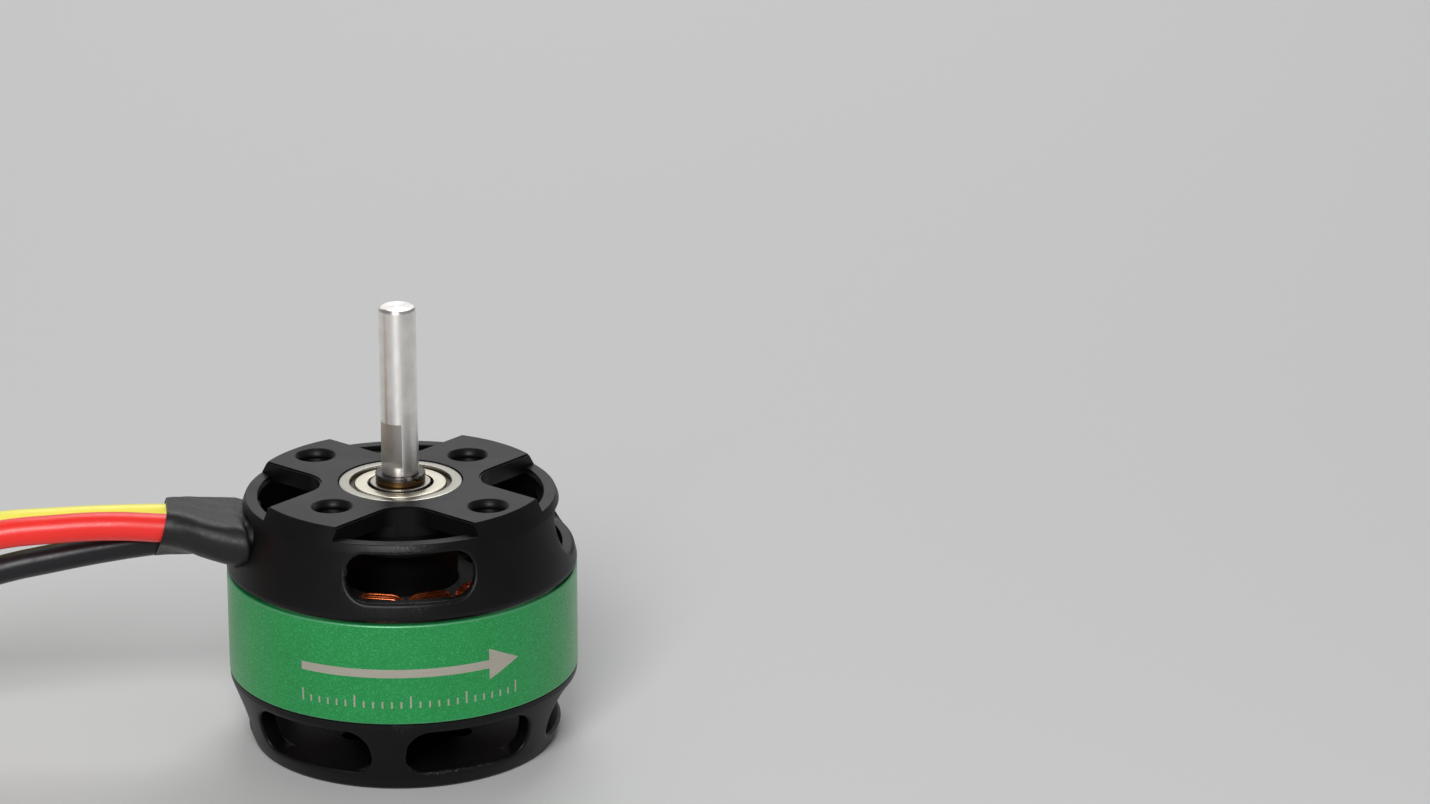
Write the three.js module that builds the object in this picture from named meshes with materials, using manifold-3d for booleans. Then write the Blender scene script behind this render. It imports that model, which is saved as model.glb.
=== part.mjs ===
// Brushless outrunner motor with a 28 mm can, standing on its end bell with the shaft up.
// Millimetres. +Z runs along the shaft and z = 0 is the flat end of the bell.
// The mounting face is at FACE_Z. The three leads leave through the -X window of the base.

import * as THREE from 'three';
import { mergeVertices } from 'three/addons/utils/BufferGeometryUtils.js';
import Module from 'manifold-3d';

const wasm = await Module();
wasm.setup();

// Facets around a full turn.
const BODY_FACETS = 40;
const SMALL_FACETS = 20;
const TINY_FACETS = 12;

// Gap left between two pieces that are pressed or glued together.
const FIT = 0.04;

// How far a cutting solid runs past what it cuts.
const OVERRUN = 1;

// Levels along the axis.
const BELL_TOP_Z = 6.25;
const RING_BOTTOM_Z = 6.3;
const RING_TOP_Z = 14.65;
const SKIRT_BOTTOM_Z = 15.05;
const WINDOW_BOTTOM_Z = 16.4;
const WINDOW_TOP_Z = 20.1;
const ARM_UNDERSIDE_Z = 20.3;
const RIM_TOP_Z = 20.8;
const FACE_Z = 21.8;
const SHAFT_TIP_Z = 36.5;

// Mounting base: cross of four arms, rim, conical skirt and bearing tube.
const FACE_RADIUS = 11.9;
const RIM_OUTER_RADIUS = 12.5;
const RIM_INNER_RADIUS = 11.5;
const CAN_RADIUS = 14.15;
const SKIRT_OUTER = [
  [14.15, 15.3],
  [13.9, WINDOW_BOTTOM_Z],
  [12.8, WINDOW_TOP_Z],
];
const SKIRT_INNER = [
  [11.9, WINDOW_TOP_Z],
  [13.0, WINDOW_BOTTOM_Z],
  [13.25, SKIRT_BOTTOM_Z],
];
const BOSS_RADIUS = 6.6;
const BOSS_BOTTOM_Z = 19.3;
const BOSS_STEP_RADIUS = 5.9;
const BOSS_STEP_Z = 17.3;
const TUBE_RADIUS = 4.5;
const TUBE_BOTTOM_Z = 5.5;
const TUBE_BORE_RADIUS = 2.2;
const ARM_HALF_WIDTH = 3.75;
const NOTCH_FILLET = 2.8;
const NOTCH_REACH = 14;
const BASE_WINDOW_WIDTH = 10.4;
const BASE_WINDOW_CORNER = 1.3;
const BASE_WINDOW_TURN = 1.2;
const BASE_WINDOW_START = 10.5;

// Mounting screws: two M3 pairs, on 16 mm and on 19 mm.
const SCREW_PAIRS = [
  { angle: 45, radius: 8.0 },
  { angle: 135, radius: 9.5 },
  { angle: 225, radius: 8.0 },
  { angle: 315, radius: 9.5 },
];
const SCREW_BORE_RADIUS = 1.3;
const SCREW_SINK_RADIUS = 1.68;
const SCREW_SINK_DEPTH = 0.38;

// Front bearing 3 x 10 x 4 and rear bearing 3 x 7 x 3.
const FRONT_BEARING = {
  name: 'front',
  bottom: 17.75,
  top: 21.75,
  outerRadius: 5.0,
  outerBore: 4.12,
  innerRadius: 2.42,
  pitchRadius: 3.25,
  ballRadius: 0.78,
  ballCount: 7,
};
const REAR_BEARING = {
  name: 'rear',
  bottom: 5.8,
  top: 8.8,
  outerRadius: 3.5,
  outerBore: 3.02,
  innerRadius: 2.0,
  pitchRadius: 2.5,
  ballRadius: 0.45,
  ballCount: 8,
};
const SHIELD_DEPTH = 0.15;
const SHIELD_THICKNESS = 0.15;
const SHIELD_CLEARANCE = 0.25;
const CAGE_HALF_THICKNESS = 0.18;

// Shaft and the pieces held on it.
const SHAFT_RADIUS = 1.5;
const SHAFT_END_Z = 0.25;
const SHAFT_CHAMFER = 0.3;
const FLAT_BOTTOM_Z = 23.3;
const FLAT_TOP_Z = 26.95;
const FLAT_DEPTH = 0.5;
const FLAT_ANGLE = -134;
const SHIM_BOTTOM_Z = 21.79;
const SHIM_TOP_Z = 22.18;
const CLIP_BOTTOM_Z = 22.22;
const CLIP_TOP_Z = 22.52;
const CLIP_RADIUS = 2.02;
const CLIP_GROOVE_RADIUS = 1.25;
const CLIP_GAP_ANGLE = -62;
const CLIP_GAP_WIDTH = 1.0;
const CLIP_END_PLAY = 0.02;
const SHIM_RADIUS = 2.0;
const SPACER_BOTTOM_Z = 5.04;
const SPACER_TOP_Z = 5.76;
const SPACER_RADIUS = 2.2;

// End bell.
const HUB_RADIUS = 4.2;
const HUB_TOP_Z = 5.0;
const BELL_FLOOR_Z = 1.5;
const BELL_OUTER = [
  [12.1, 0],
  [12.25, 0.15],
  [12.62, 1.0],
  [13.25, 3.0],
  [13.85, 5.0],
  [14.1, 5.8],
  [14.1, BELL_TOP_Z],
];
const BELL_INNER = [
  [12.1, 4.9],
  [11.2, BELL_FLOOR_Z],
];
const SPIGOT_RADIUS = 12.95;
const SPIGOT_BORE_RADIUS = 12.1;
const SPIGOT_TOP_Z = 7.0;
const BELL_WINDOW_COUNT = 6;
const BELL_WINDOW_ANGLE = -67.7;
const BELL_WINDOW_WIDTH = 10.6;
const BELL_WINDOW_BOTTOM_Z = 1.55;
const BELL_WINDOW_TOP_Z = 5.35;
const BELL_WINDOW_CORNER = 1.6;
const BELL_WINDOW_START = 9.5;
const ADAPTER_HOLE_COUNT = 4;
const ADAPTER_HOLE_RADIUS = 1.0;
const ADAPTER_HOLE_CIRCLE = 6.0;
const ADAPTER_HOLE_ANGLE = 45;
const GRUB_ANGLES = [-67.7, 52.3];
const GRUB_RADIUS = 1.2;
const GRUB_INNER_END = 1.56;
const GRUB_OUTER_END = 4.15;
const GRUB_SOCKET_RADIUS = 0.65;
const GRUB_SOCKET_DEPTH = 1.1;
const GRUB_Z = 3.3;

// Flux ring and magnets.
const RING_INNER_RADIUS = 13.0;
const RING_EDGE = 0.15;
const MAGNET_COUNT = 14;
const MAGNET_WIDTH = 4.6;
const MAGNET_THICKNESS = 1.3;
const MAGNET_INNER_FACE = 11.4;
const MAGNET_BOTTOM_Z = 7.05;
const MAGNET_TOP_Z = 14.2;

// Stator: laminated core with twelve teeth, one coil on each.
const TOOTH_COUNT = 12;
const TOOTH_ANGLE = -75;
const CORE_BORE_RADIUS = 4.56;
const CORE_YOKE_RADIUS = 6.3;
const CORE_TIP_RADIUS = 11.0;
const CORE_TIP_THICKNESS = 0.8;
const CORE_TIP_HALF_ANGLE = 12.6;
const CORE_BOTTOM_Z = 7.5;
const CORE_TOP_Z = 13.5;
const TOOTH_WIDTH = 2.1;
const COIL_INNER_RADIUS = 6.7;
const COIL_OUTER_RADIUS = 9.95;
const COIL_INNER_WIDTH = 3.3;
const COIL_OUTER_WIDTH = 4.8;
const COIL_BOTTOM_Z = 5.9;
const COIL_TOP_Z = 15.2;
const COIL_CORNER = 1.0;

// Leads: heat-shrink sleeve, three silicone wires, bullet plugs with shrink collars.
// The sleeve wraps round places of [y, z]: a flat row in the window, then the bundle of leads.
const SLEEVE_NECK_X = -11.2;
const SLEEVE_NECK = [
  [-3.0, 18.25],
  [1.7, 18.25],
];
const SLEEVE_NECK_RADIUS = 1.55;
const SLEEVE_ROOT_X = -12.9;
const SLEEVE_ROOT = [
  [-4.15, 18.25],
  [1.8, 18.25],
];
const SLEEVE_ROOT_RADIUS = 1.7;
const SLEEVE_END_X = -18.3;
const SLEEVE_END = [
  [-2.75, 19.2],
  [1.25, 18.7],
  [-0.8, 17.8],
];
const SLEEVE_END_RADIUS = 1.5;
const LEAD_RADIUS = 1.15;
const LEAD_FACETS = 8;
const LEAD_STEPS = 26;
const LEADS = [
  {
    name: 'red',
    color: 0xc42a2a,
    points: [
      [-18.6, -2.7, 19.25],
      [-23.3, -2.8, 19.62],
      [-27.8, -2.9, 19.55],
      [-32.3, -3.0, 19.2],
      [-40.0, -3.4, 17.3],
      [-50.0, -4.2, 12.0],
      [-59.0, -5.0, 6.3],
      [-68.0, -5.6, 2.6],
      [-76.0, -5.9, 1.35],
      [-84.0, -6.0, 2.1],
      [-88.0, -6.0, 2.15],
    ],
  },
  {
    name: 'yellow',
    color: 0xd9c62a,
    points: [
      [-18.6, 1.2, 18.75],
      [-23.3, 1.25, 18.78],
      [-27.8, 1.35, 18.66],
      [-32.3, 1.5, 18.4],
      [-40.0, 2.2, 16.8],
      [-50.0, 3.4, 11.9],
      [-59.0, 4.6, 6.4],
      [-68.0, 5.6, 2.65],
      [-76.0, 6.1, 1.35],
      [-84.0, 6.3, 2.1],
      [-88.0, 6.3, 2.15],
    ],
  },
  {
    name: 'black',
    color: 0x1c1c1e,
    points: [
      [-18.6, -0.8, 17.7],
      [-23.3, -0.9, 17.15],
      [-27.8, -1.2, 16.5],
      [-32.3, -1.5, 15.7],
      [-39.0, -1.6, 13.6],
      [-48.0, -1.2, 9.2],
      [-57.0, -0.6, 4.8],
      [-66.0, -0.1, 2.15],
      [-75.0, 0.1, 1.35],
      [-84.0, 0.2, 2.1],
      [-88.0, 0.2, 2.15],
    ],
  },
];
const SLEEVE_FACETS = 12;

// The collar has a blind bore at each end, one for the lead and one for the plug's neck.
const CORD_GAP = 0.3;
const COLLAR_RADIUS = 2.05;
const COLLAR_LENGTH = 12;
const COLLAR_LEAD_BORE = 4.4;
const COLLAR_PLUG_BORE = 5.4;
const PLUG_RADIUS = 1.75;
const PLUG_NECK_RADIUS = 1.35;
const PLUG_NECK_LENGTH = 5.3;
const PLUG_LENGTH = 13;
const PLUG_NOSE = 0.6;

const root = new THREE.Group();
root.name = 'brushless_outrunner_motor';

function add(name, geometry, color, roughness, metalness) {
  const material = new THREE.MeshStandardMaterial({ color, roughness, metalness });
  const mesh = new THREE.Mesh(geometry, material);
  mesh.name = name;
  root.add(mesh);
}

// Welds a three.js geometry, drops its collapsed triangles and makes it a solid.
function toSolid(geometry) {
  const bare = geometry.clone();
  bare.deleteAttribute('normal');
  bare.deleteAttribute('uv');
  const welded = mergeVertices(bare, 1e-4);
  const index = welded.index.array;
  const corners = [];
  for (let i = 0; i < index.length; i += 3) {
    const [a, b, c] = [index[i], index[i + 1], index[i + 2]];
    if (a !== b && b !== c && c !== a) {
      corners.push(a, b, c);
    }
  }
  const mesh = new wasm.Mesh({
    numProp: 3,
    vertProperties: Float32Array.from(welded.attributes.position.array),
    triVerts: Uint32Array.from(corners),
  });
  return new wasm.Manifold(mesh);
}

function toGeometry(solid) {
  const mesh = solid.getMesh();
  const geometry = new THREE.BufferGeometry();
  geometry.setAttribute('position', new THREE.BufferAttribute(mesh.vertProperties, 3));
  geometry.setIndex(new THREE.BufferAttribute(mesh.triVerts, 1));
  geometry.computeVertexNormals();
  return geometry;
}

// Turns a closed counter-clockwise profile of [radius, height] points about the Z axis.
function turned(profile, facets) {
  const points = profile.map(([radius, height]) => new THREE.Vector2(radius, height));
  points.push(points[0].clone());
  const geometry = new THREE.LatheGeometry(points, facets);
  geometry.rotateX(Math.PI / 2);
  return geometry;
}

function ring(innerRadius, outerRadius, bottom, top, facets) {
  const profile = [
    [innerRadius, bottom],
    [outerRadius, bottom],
    [outerRadius, top],
    [innerRadius, top],
  ];
  return turned(profile, facets);
}

function disc(radius, bottom, top, facets) {
  const geometry = new THREE.CylinderGeometry(radius, radius, top - bottom, facets);
  geometry.rotateX(Math.PI / 2);
  geometry.translate(0, 0, (bottom + top) / 2);
  return geometry;
}

function roundedRectangle(width, height, corner) {
  const [x, y] = [width / 2, height / 2];
  const shape = new THREE.Shape();
  shape.moveTo(-x + corner, -y);
  shape.lineTo(x - corner, -y);
  shape.absarc(x - corner, -y + corner, corner, -Math.PI / 2, 0);
  shape.lineTo(x, y - corner);
  shape.absarc(x - corner, y - corner, corner, 0, Math.PI / 2);
  shape.lineTo(-x + corner, y);
  shape.absarc(-x + corner, y - corner, corner, Math.PI / 2, Math.PI);
  shape.lineTo(-x, -y + corner);
  shape.absarc(-x + corner, -y + corner, corner, Math.PI, 1.5 * Math.PI);
  return shape;
}

// Extrudes a shape drawn across Y and Z outward along +X, from one radius to another.
function radialPrism(shape, innerRadius, outerRadius, height, curveSegments = 3) {
  const depth = outerRadius - innerRadius;
  const geometry = new THREE.ExtrudeGeometry(shape, { depth, bevelEnabled: false, curveSegments });
  geometry.rotateX(Math.PI / 2);
  geometry.rotateZ(Math.PI / 2);
  geometry.translate(innerRadius, 0, height);
  return geometry;
}

function radialCylinder(radius, innerEnd, outerEnd, height, facets) {
  const geometry = new THREE.CylinderGeometry(radius, radius, outerEnd - innerEnd, facets);
  geometry.rotateZ(Math.PI / 2);
  geometry.translate((innerEnd + outerEnd) / 2, 0, height);
  return geometry;
}

function aboutAxis(geometry, degrees) {
  const copy = geometry.clone();
  copy.rotateZ(THREE.MathUtils.degToRad(degrees));
  return copy;
}

function cut(solid, geometry) {
  return solid.subtract(toSolid(geometry));
}

// Plan of one notch between two arms: a right-angled V with a rounded apex, opening along +X.
function notchShape() {
  const tip = ARM_HALF_WIDTH * Math.SQRT2;
  const centre = tip + NOTCH_FILLET * Math.SQRT2;
  const shape = new THREE.Shape();
  shape.moveTo(tip + NOTCH_REACH, -NOTCH_REACH);
  shape.lineTo(tip + NOTCH_REACH, NOTCH_REACH);
  shape.absarc(centre, 0, NOTCH_FILLET, 0.75 * Math.PI, 1.25 * Math.PI);
  return shape;
}

function notchPrism(bottom) {
  const depth = FACE_Z + OVERRUN - bottom;
  const settings = { depth, bevelEnabled: false, curveSegments: 6 };
  const geometry = new THREE.ExtrudeGeometry(notchShape(), settings);
  geometry.translate(0, 0, bottom);
  return geometry;
}

function mountBase() {
  const profile = [
    [TUBE_BORE_RADIUS, REAR_BEARING.top + FIT],
    [REAR_BEARING.outerRadius + FIT, REAR_BEARING.top + FIT],
    [REAR_BEARING.outerRadius + FIT, TUBE_BOTTOM_Z],
    [TUBE_RADIUS, TUBE_BOTTOM_Z],
    [TUBE_RADIUS, BOSS_STEP_Z],
    [BOSS_STEP_RADIUS, BOSS_STEP_Z],
    [BOSS_STEP_RADIUS, BOSS_BOTTOM_Z],
    [BOSS_RADIUS, BOSS_BOTTOM_Z],
    [BOSS_RADIUS, ARM_UNDERSIDE_Z],
    [RIM_INNER_RADIUS, ARM_UNDERSIDE_Z],
    ...SKIRT_INNER,
    [CAN_RADIUS, SKIRT_BOTTOM_Z],
    ...SKIRT_OUTER,
    [RIM_OUTER_RADIUS, RIM_TOP_Z],
    [FACE_RADIUS, FACE_Z],
    [FRONT_BEARING.outerRadius + FIT, FACE_Z],
    [FRONT_BEARING.outerRadius + FIT, FRONT_BEARING.bottom - FIT],
    [TUBE_BORE_RADIUS, FRONT_BEARING.bottom - FIT],
  ];
  let solid = toSolid(turned(profile, BODY_FACETS));

  const upperNotch = notchPrism(RIM_TOP_Z);
  const lowerBottom = BOSS_BOTTOM_Z - OVERRUN;
  const insideRim = disc(RIM_INNER_RADIUS, lowerBottom, FACE_Z + OVERRUN, BODY_FACETS);
  const lowerNotchSolid = toSolid(insideRim).intersect(toSolid(notchPrism(lowerBottom)));
  const lowerNotch = toGeometry(lowerNotchSolid);
  const windowHeight = WINDOW_TOP_Z - WINDOW_BOTTOM_Z;
  const windowShape = roundedRectangle(BASE_WINDOW_WIDTH, windowHeight, BASE_WINDOW_CORNER);
  const windowMiddle = (WINDOW_TOP_Z + WINDOW_BOTTOM_Z) / 2;
  const windowEnd = CAN_RADIUS + OVERRUN;
  const window = radialPrism(windowShape, BASE_WINDOW_START, windowEnd, windowMiddle);
  for (const angle of [0, 90, 180, 270]) {
    solid = cut(solid, aboutAxis(upperNotch, angle));
    solid = cut(solid, aboutAxis(lowerNotch, angle));
    solid = cut(solid, aboutAxis(window, angle + BASE_WINDOW_TURN));
  }

  for (const { angle, radius } of SCREW_PAIRS) {
    const profileOfHole = [
      [0, ARM_UNDERSIDE_Z - OVERRUN],
      [SCREW_BORE_RADIUS, ARM_UNDERSIDE_Z - OVERRUN],
      [SCREW_BORE_RADIUS, FACE_Z - SCREW_SINK_DEPTH],
      [SCREW_SINK_RADIUS, FACE_Z],
      [SCREW_SINK_RADIUS, FACE_Z + OVERRUN],
      [0, FACE_Z + OVERRUN],
    ];
    const hole = turned(profileOfHole, TINY_FACETS);
    hole.translate(radius, 0, 0);
    solid = cut(solid, aboutAxis(hole, angle));
  }
  return solid;
}

function endBell() {
  const profile = [
    [SHAFT_RADIUS + FIT, 0],
    ...BELL_OUTER,
    [SPIGOT_RADIUS, BELL_TOP_Z],
    [SPIGOT_RADIUS, SPIGOT_TOP_Z],
    [SPIGOT_BORE_RADIUS, SPIGOT_TOP_Z],
    ...BELL_INNER,
    [HUB_RADIUS, BELL_FLOOR_Z],
    [HUB_RADIUS, HUB_TOP_Z],
    [SHAFT_RADIUS + FIT, HUB_TOP_Z],
  ];
  let solid = toSolid(turned(profile, BODY_FACETS));

  const windowHeight = BELL_WINDOW_TOP_Z - BELL_WINDOW_BOTTOM_Z;
  const windowMiddle = (BELL_WINDOW_TOP_Z + BELL_WINDOW_BOTTOM_Z) / 2;
  const windowShape = roundedRectangle(BELL_WINDOW_WIDTH, windowHeight, BELL_WINDOW_CORNER);
  const windowEnd = CAN_RADIUS + OVERRUN;
  const window = radialPrism(windowShape, BELL_WINDOW_START, windowEnd, windowMiddle);
  for (let i = 0; i < BELL_WINDOW_COUNT; i += 1) {
    solid = cut(solid, aboutAxis(window, BELL_WINDOW_ANGLE + (360 / BELL_WINDOW_COUNT) * i));
  }

  const holeTop = BELL_FLOOR_Z + OVERRUN;
  const adapterHole = disc(ADAPTER_HOLE_RADIUS, -OVERRUN, holeTop, TINY_FACETS);
  adapterHole.translate(ADAPTER_HOLE_CIRCLE, 0, 0);
  for (let i = 0; i < ADAPTER_HOLE_COUNT; i += 1) {
    const angle = ADAPTER_HOLE_ANGLE + (360 / ADAPTER_HOLE_COUNT) * i;
    solid = cut(solid, aboutAxis(adapterHole, angle));
  }

  const grubHoleEnd = HUB_RADIUS + OVERRUN;
  const grubHole = radialCylinder(GRUB_RADIUS + FIT, 0, grubHoleEnd, GRUB_Z, TINY_FACETS);
  for (const angle of GRUB_ANGLES) {
    solid = cut(solid, aboutAxis(grubHole, angle));
  }
  return solid;
}

function grubScrew() {
  const body = radialCylinder(GRUB_RADIUS, GRUB_INNER_END, GRUB_OUTER_END, GRUB_Z, TINY_FACETS);
  const socketStart = GRUB_OUTER_END - GRUB_SOCKET_DEPTH;
  const socketEnd = GRUB_OUTER_END + OVERRUN;
  const socket = radialCylinder(GRUB_SOCKET_RADIUS, socketStart, socketEnd, GRUB_Z, 6);
  return cut(toSolid(body), socket);
}

function shaft() {
  const chamferStart = SHAFT_RADIUS - SHAFT_CHAMFER;
  const profile = [
    [0, SHAFT_END_Z],
    [chamferStart, SHAFT_END_Z],
    [SHAFT_RADIUS, SHAFT_END_Z + SHAFT_CHAMFER],
    [SHAFT_RADIUS, CLIP_BOTTOM_Z - CLIP_END_PLAY],
    [CLIP_GROOVE_RADIUS, CLIP_BOTTOM_Z - CLIP_END_PLAY],
    [CLIP_GROOVE_RADIUS, CLIP_TOP_Z + CLIP_END_PLAY],
    [SHAFT_RADIUS, CLIP_TOP_Z + CLIP_END_PLAY],
    [SHAFT_RADIUS, SHAFT_TIP_Z - SHAFT_CHAMFER],
    [chamferStart, SHAFT_TIP_Z],
    [0, SHAFT_TIP_Z],
  ];
  const round = toSolid(turned(profile, SMALL_FACETS));
  const cutterDepth = FLAT_DEPTH + OVERRUN;
  const flat = new THREE.BoxGeometry(cutterDepth, 3 * SHAFT_RADIUS, FLAT_TOP_Z - FLAT_BOTTOM_Z);
  const cutterMiddle = SHAFT_RADIUS - FLAT_DEPTH + cutterDepth / 2;
  flat.translate(cutterMiddle, 0, (FLAT_TOP_Z + FLAT_BOTTOM_Z) / 2);
  return cut(round, aboutAxis(flat, FLAT_ANGLE));
}

function retainingClip() {
  const innerRadius = CLIP_GROOVE_RADIUS + FIT;
  const whole = ring(innerRadius, CLIP_RADIUS, CLIP_BOTTOM_Z, CLIP_TOP_Z, SMALL_FACETS);
  const gapLength = CLIP_RADIUS + OVERRUN;
  const gap = new THREE.BoxGeometry(gapLength, CLIP_GAP_WIDTH, 2 * OVERRUN);
  gap.translate(gapLength / 2, 0, CLIP_TOP_Z);
  return cut(toSolid(whole), aboutAxis(gap, CLIP_GAP_ANGLE));
}

function bearing(b) {
  const middle = (b.bottom + b.top) / 2;
  const steel = [0xc9c9c6, 0.22, 1];
  const outer = ring(b.outerBore, b.outerRadius, b.bottom, b.top, SMALL_FACETS);
  const inner = ring(SHAFT_RADIUS + FIT, b.innerRadius, b.bottom, b.top, SMALL_FACETS);
  add(`${b.name}_bearing_outer_ring`, outer, ...steel);
  add(`${b.name}_bearing_inner_ring`, inner, ...steel);

  const shieldOuter = b.outerBore - FIT;
  const shieldInner = b.innerRadius + SHIELD_CLEARANCE;
  const upperTop = b.top - SHIELD_DEPTH;
  const lowerBottom = b.bottom + SHIELD_DEPTH;
  const upperBottom = upperTop - SHIELD_THICKNESS;
  const lowerTop = lowerBottom + SHIELD_THICKNESS;
  const upper = ring(shieldInner, shieldOuter, upperBottom, upperTop, SMALL_FACETS);
  const lower = ring(shieldInner, shieldOuter, lowerBottom, lowerTop, SMALL_FACETS);
  add(`${b.name}_bearing_upper_shield`, upper, 0xd2cfc6, 0.3, 1);
  add(`${b.name}_bearing_lower_shield`, lower, 0xd2cfc6, 0.3, 1);

  let balls = toSolid(ring(
    b.pitchRadius - CAGE_HALF_THICKNESS,
    b.pitchRadius + CAGE_HALF_THICKNESS,
    middle - CAGE_HALF_THICKNESS,
    middle + CAGE_HALF_THICKNESS,
    SMALL_FACETS,
  ));
  for (let i = 0; i < b.ballCount; i += 1) {
    const ball = new THREE.SphereGeometry(b.ballRadius, 6, 4);
    ball.translate(b.pitchRadius, 0, middle);
    balls = balls.add(toSolid(aboutAxis(ball, (360 / b.ballCount) * i)));
  }
  add(`${b.name}_ball_set`, toGeometry(balls), 0xb8b8b6, 0.15, 1);
}

function fluxRing() {
  const profile = [
    [RING_INNER_RADIUS, RING_BOTTOM_Z],
    [CAN_RADIUS - RING_EDGE, RING_BOTTOM_Z],
    [CAN_RADIUS, RING_BOTTOM_Z + RING_EDGE],
    [CAN_RADIUS, RING_TOP_Z - RING_EDGE],
    [CAN_RADIUS - RING_EDGE, RING_TOP_Z],
    [RING_INNER_RADIUS, RING_TOP_Z],
  ];
  return turned(profile, BODY_FACETS);
}

function magnet() {
  const height = MAGNET_TOP_Z - MAGNET_BOTTOM_Z;
  const geometry = new THREE.BoxGeometry(MAGNET_THICKNESS, MAGNET_WIDTH, height);
  const middle = (MAGNET_TOP_Z + MAGNET_BOTTOM_Z) / 2;
  geometry.translate(MAGNET_INNER_FACE + MAGNET_THICKNESS / 2, 0, middle);
  return geometry;
}

function statorCore() {
  let core = toSolid(disc(CORE_YOKE_RADIUS, CORE_BOTTOM_Z, CORE_TOP_Z, SMALL_FACETS));
  const tipInner = CORE_TIP_RADIUS - CORE_TIP_THICKNESS;
  const tipHalf = THREE.MathUtils.degToRad(CORE_TIP_HALF_ANGLE);
  const tipShape = new THREE.Shape();
  tipShape.absarc(0, 0, CORE_TIP_RADIUS, -tipHalf, tipHalf);
  tipShape.absarc(0, 0, tipInner, tipHalf, -tipHalf, true);
  const height = CORE_TOP_Z - CORE_BOTTOM_Z;
  const settings = { depth: height, bevelEnabled: false, curveSegments: 3 };
  const tip = new THREE.ExtrudeGeometry(tipShape, settings);
  tip.translate(0, 0, CORE_BOTTOM_Z);
  const shankStart = (CORE_BORE_RADIUS + CORE_YOKE_RADIUS) / 2;
  const shankEnd = (tipInner + CORE_TIP_RADIUS) / 2;
  const shank = new THREE.BoxGeometry(shankEnd - shankStart, TOOTH_WIDTH, height);
  shank.translate((shankStart + shankEnd) / 2, 0, (CORE_TOP_Z + CORE_BOTTOM_Z) / 2);
  for (let i = 0; i < TOOTH_COUNT; i += 1) {
    const angle = TOOTH_ANGLE + (360 / TOOTH_COUNT) * i;
    core = core.add(toSolid(aboutAxis(tip, angle)));
    core = core.add(toSolid(aboutAxis(shank, angle)));
  }
  const boreBottom = CORE_BOTTOM_Z - OVERRUN;
  return cut(core, disc(CORE_BORE_RADIUS, boreBottom, CORE_TOP_Z + OVERRUN, SMALL_FACETS));
}

// One coil: a rounded loop about its tooth, widening outward with the slot.
function coil() {
  const height = COIL_TOP_Z - COIL_BOTTOM_Z;
  const middle = (COIL_TOP_Z + COIL_BOTTOM_Z) / 2;
  const shape = roundedRectangle(COIL_INNER_WIDTH, height, COIL_CORNER);
  const block = radialPrism(shape, COIL_INNER_RADIUS, COIL_OUTER_RADIUS, middle, 2);
  const spread = COIL_OUTER_WIDTH / COIL_INNER_WIDTH;
  const positions = block.attributes.position;
  for (let i = 0; i < positions.count; i += 1) {
    const isOuter = positions.getX(i) > (COIL_INNER_RADIUS + COIL_OUTER_RADIUS) / 2;
    if (isOuter) {
      positions.setY(i, positions.getY(i) * spread);
    }
  }
  const coreHeight = CORE_TOP_Z - CORE_BOTTOM_Z + 2 * FIT;
  const toothLength = COIL_OUTER_RADIUS - COIL_INNER_RADIUS + 2 * OVERRUN;
  const tooth = new THREE.BoxGeometry(toothLength, TOOTH_WIDTH + 2 * FIT, coreHeight);
  const toothMiddle = (COIL_OUTER_RADIUS + COIL_INNER_RADIUS) / 2;
  tooth.translate(toothMiddle, 0, (CORE_TOP_Z + CORE_BOTTOM_Z) / 2);
  return cut(toSolid(block), tooth);
}

function sweep(shape, points, steps) {
  const stations = points.map(([x, y, z]) => new THREE.Vector3(x, y, z));
  const extrudePath = new THREE.CatmullRomCurve3(stations);
  return new THREE.ExtrudeGeometry(shape, { steps, extrudePath, curveSegments: 1 });
}

// A polygon standing in for the round section of a swept piece.
function roundSection(radius, facets) {
  const corners = [];
  for (let i = 0; i < facets; i += 1) {
    const angle = (2 * Math.PI * (i + 0.5)) / facets;
    corners.push(new THREE.Vector2(Math.cos(angle) * radius, Math.sin(angle) * radius));
  }
  return new THREE.Shape(corners);
}

// Points of circles round some [y, z] places, all at one distance along the leads.
function circlePoints(x, places, radius) {
  const section = roundSection(radius, SLEEVE_FACETS).getPoints();
  return places.flatMap(([y, z]) => section.map((point) => [x, y + point.x, z + point.y]));
}

function sleeve() {
  const neckStart = circlePoints(SLEEVE_NECK_X, SLEEVE_NECK, SLEEVE_NECK_RADIUS);
  const neckEnd = circlePoints(SLEEVE_ROOT_X, SLEEVE_NECK, SLEEVE_NECK_RADIUS);
  const tubeStart = circlePoints(SLEEVE_ROOT_X, SLEEVE_ROOT, SLEEVE_ROOT_RADIUS);
  const tubeEnd = circlePoints(SLEEVE_END_X, SLEEVE_END, SLEEVE_END_RADIUS);
  const neck = wasm.Manifold.hull([...neckStart, ...neckEnd]);
  return neck.add(wasm.Manifold.hull([...tubeStart, ...tubeEnd]));
}

// Lays a piece turned about +Z along -X, starting from the given point.
function layAlongLead(geometry, x, y, z) {
  geometry.rotateY(-Math.PI / 2);
  geometry.translate(x, y, z);
  return geometry;
}

function collar() {
  const boreRadius = LEAD_RADIUS + CORD_GAP;
  const neckBoreRadius = PLUG_NECK_RADIUS + CORD_GAP / 3;
  const neckBoreStart = COLLAR_LENGTH - COLLAR_PLUG_BORE;
  const profile = [
    [boreRadius, 0],
    [COLLAR_RADIUS, 0],
    [COLLAR_RADIUS, COLLAR_LENGTH],
    [neckBoreRadius, COLLAR_LENGTH],
    [neckBoreRadius, neckBoreStart],
    [0, neckBoreStart],
    [0, COLLAR_LEAD_BORE],
    [boreRadius, COLLAR_LEAD_BORE],
  ];
  return turned(profile, TINY_FACETS);
}

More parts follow.
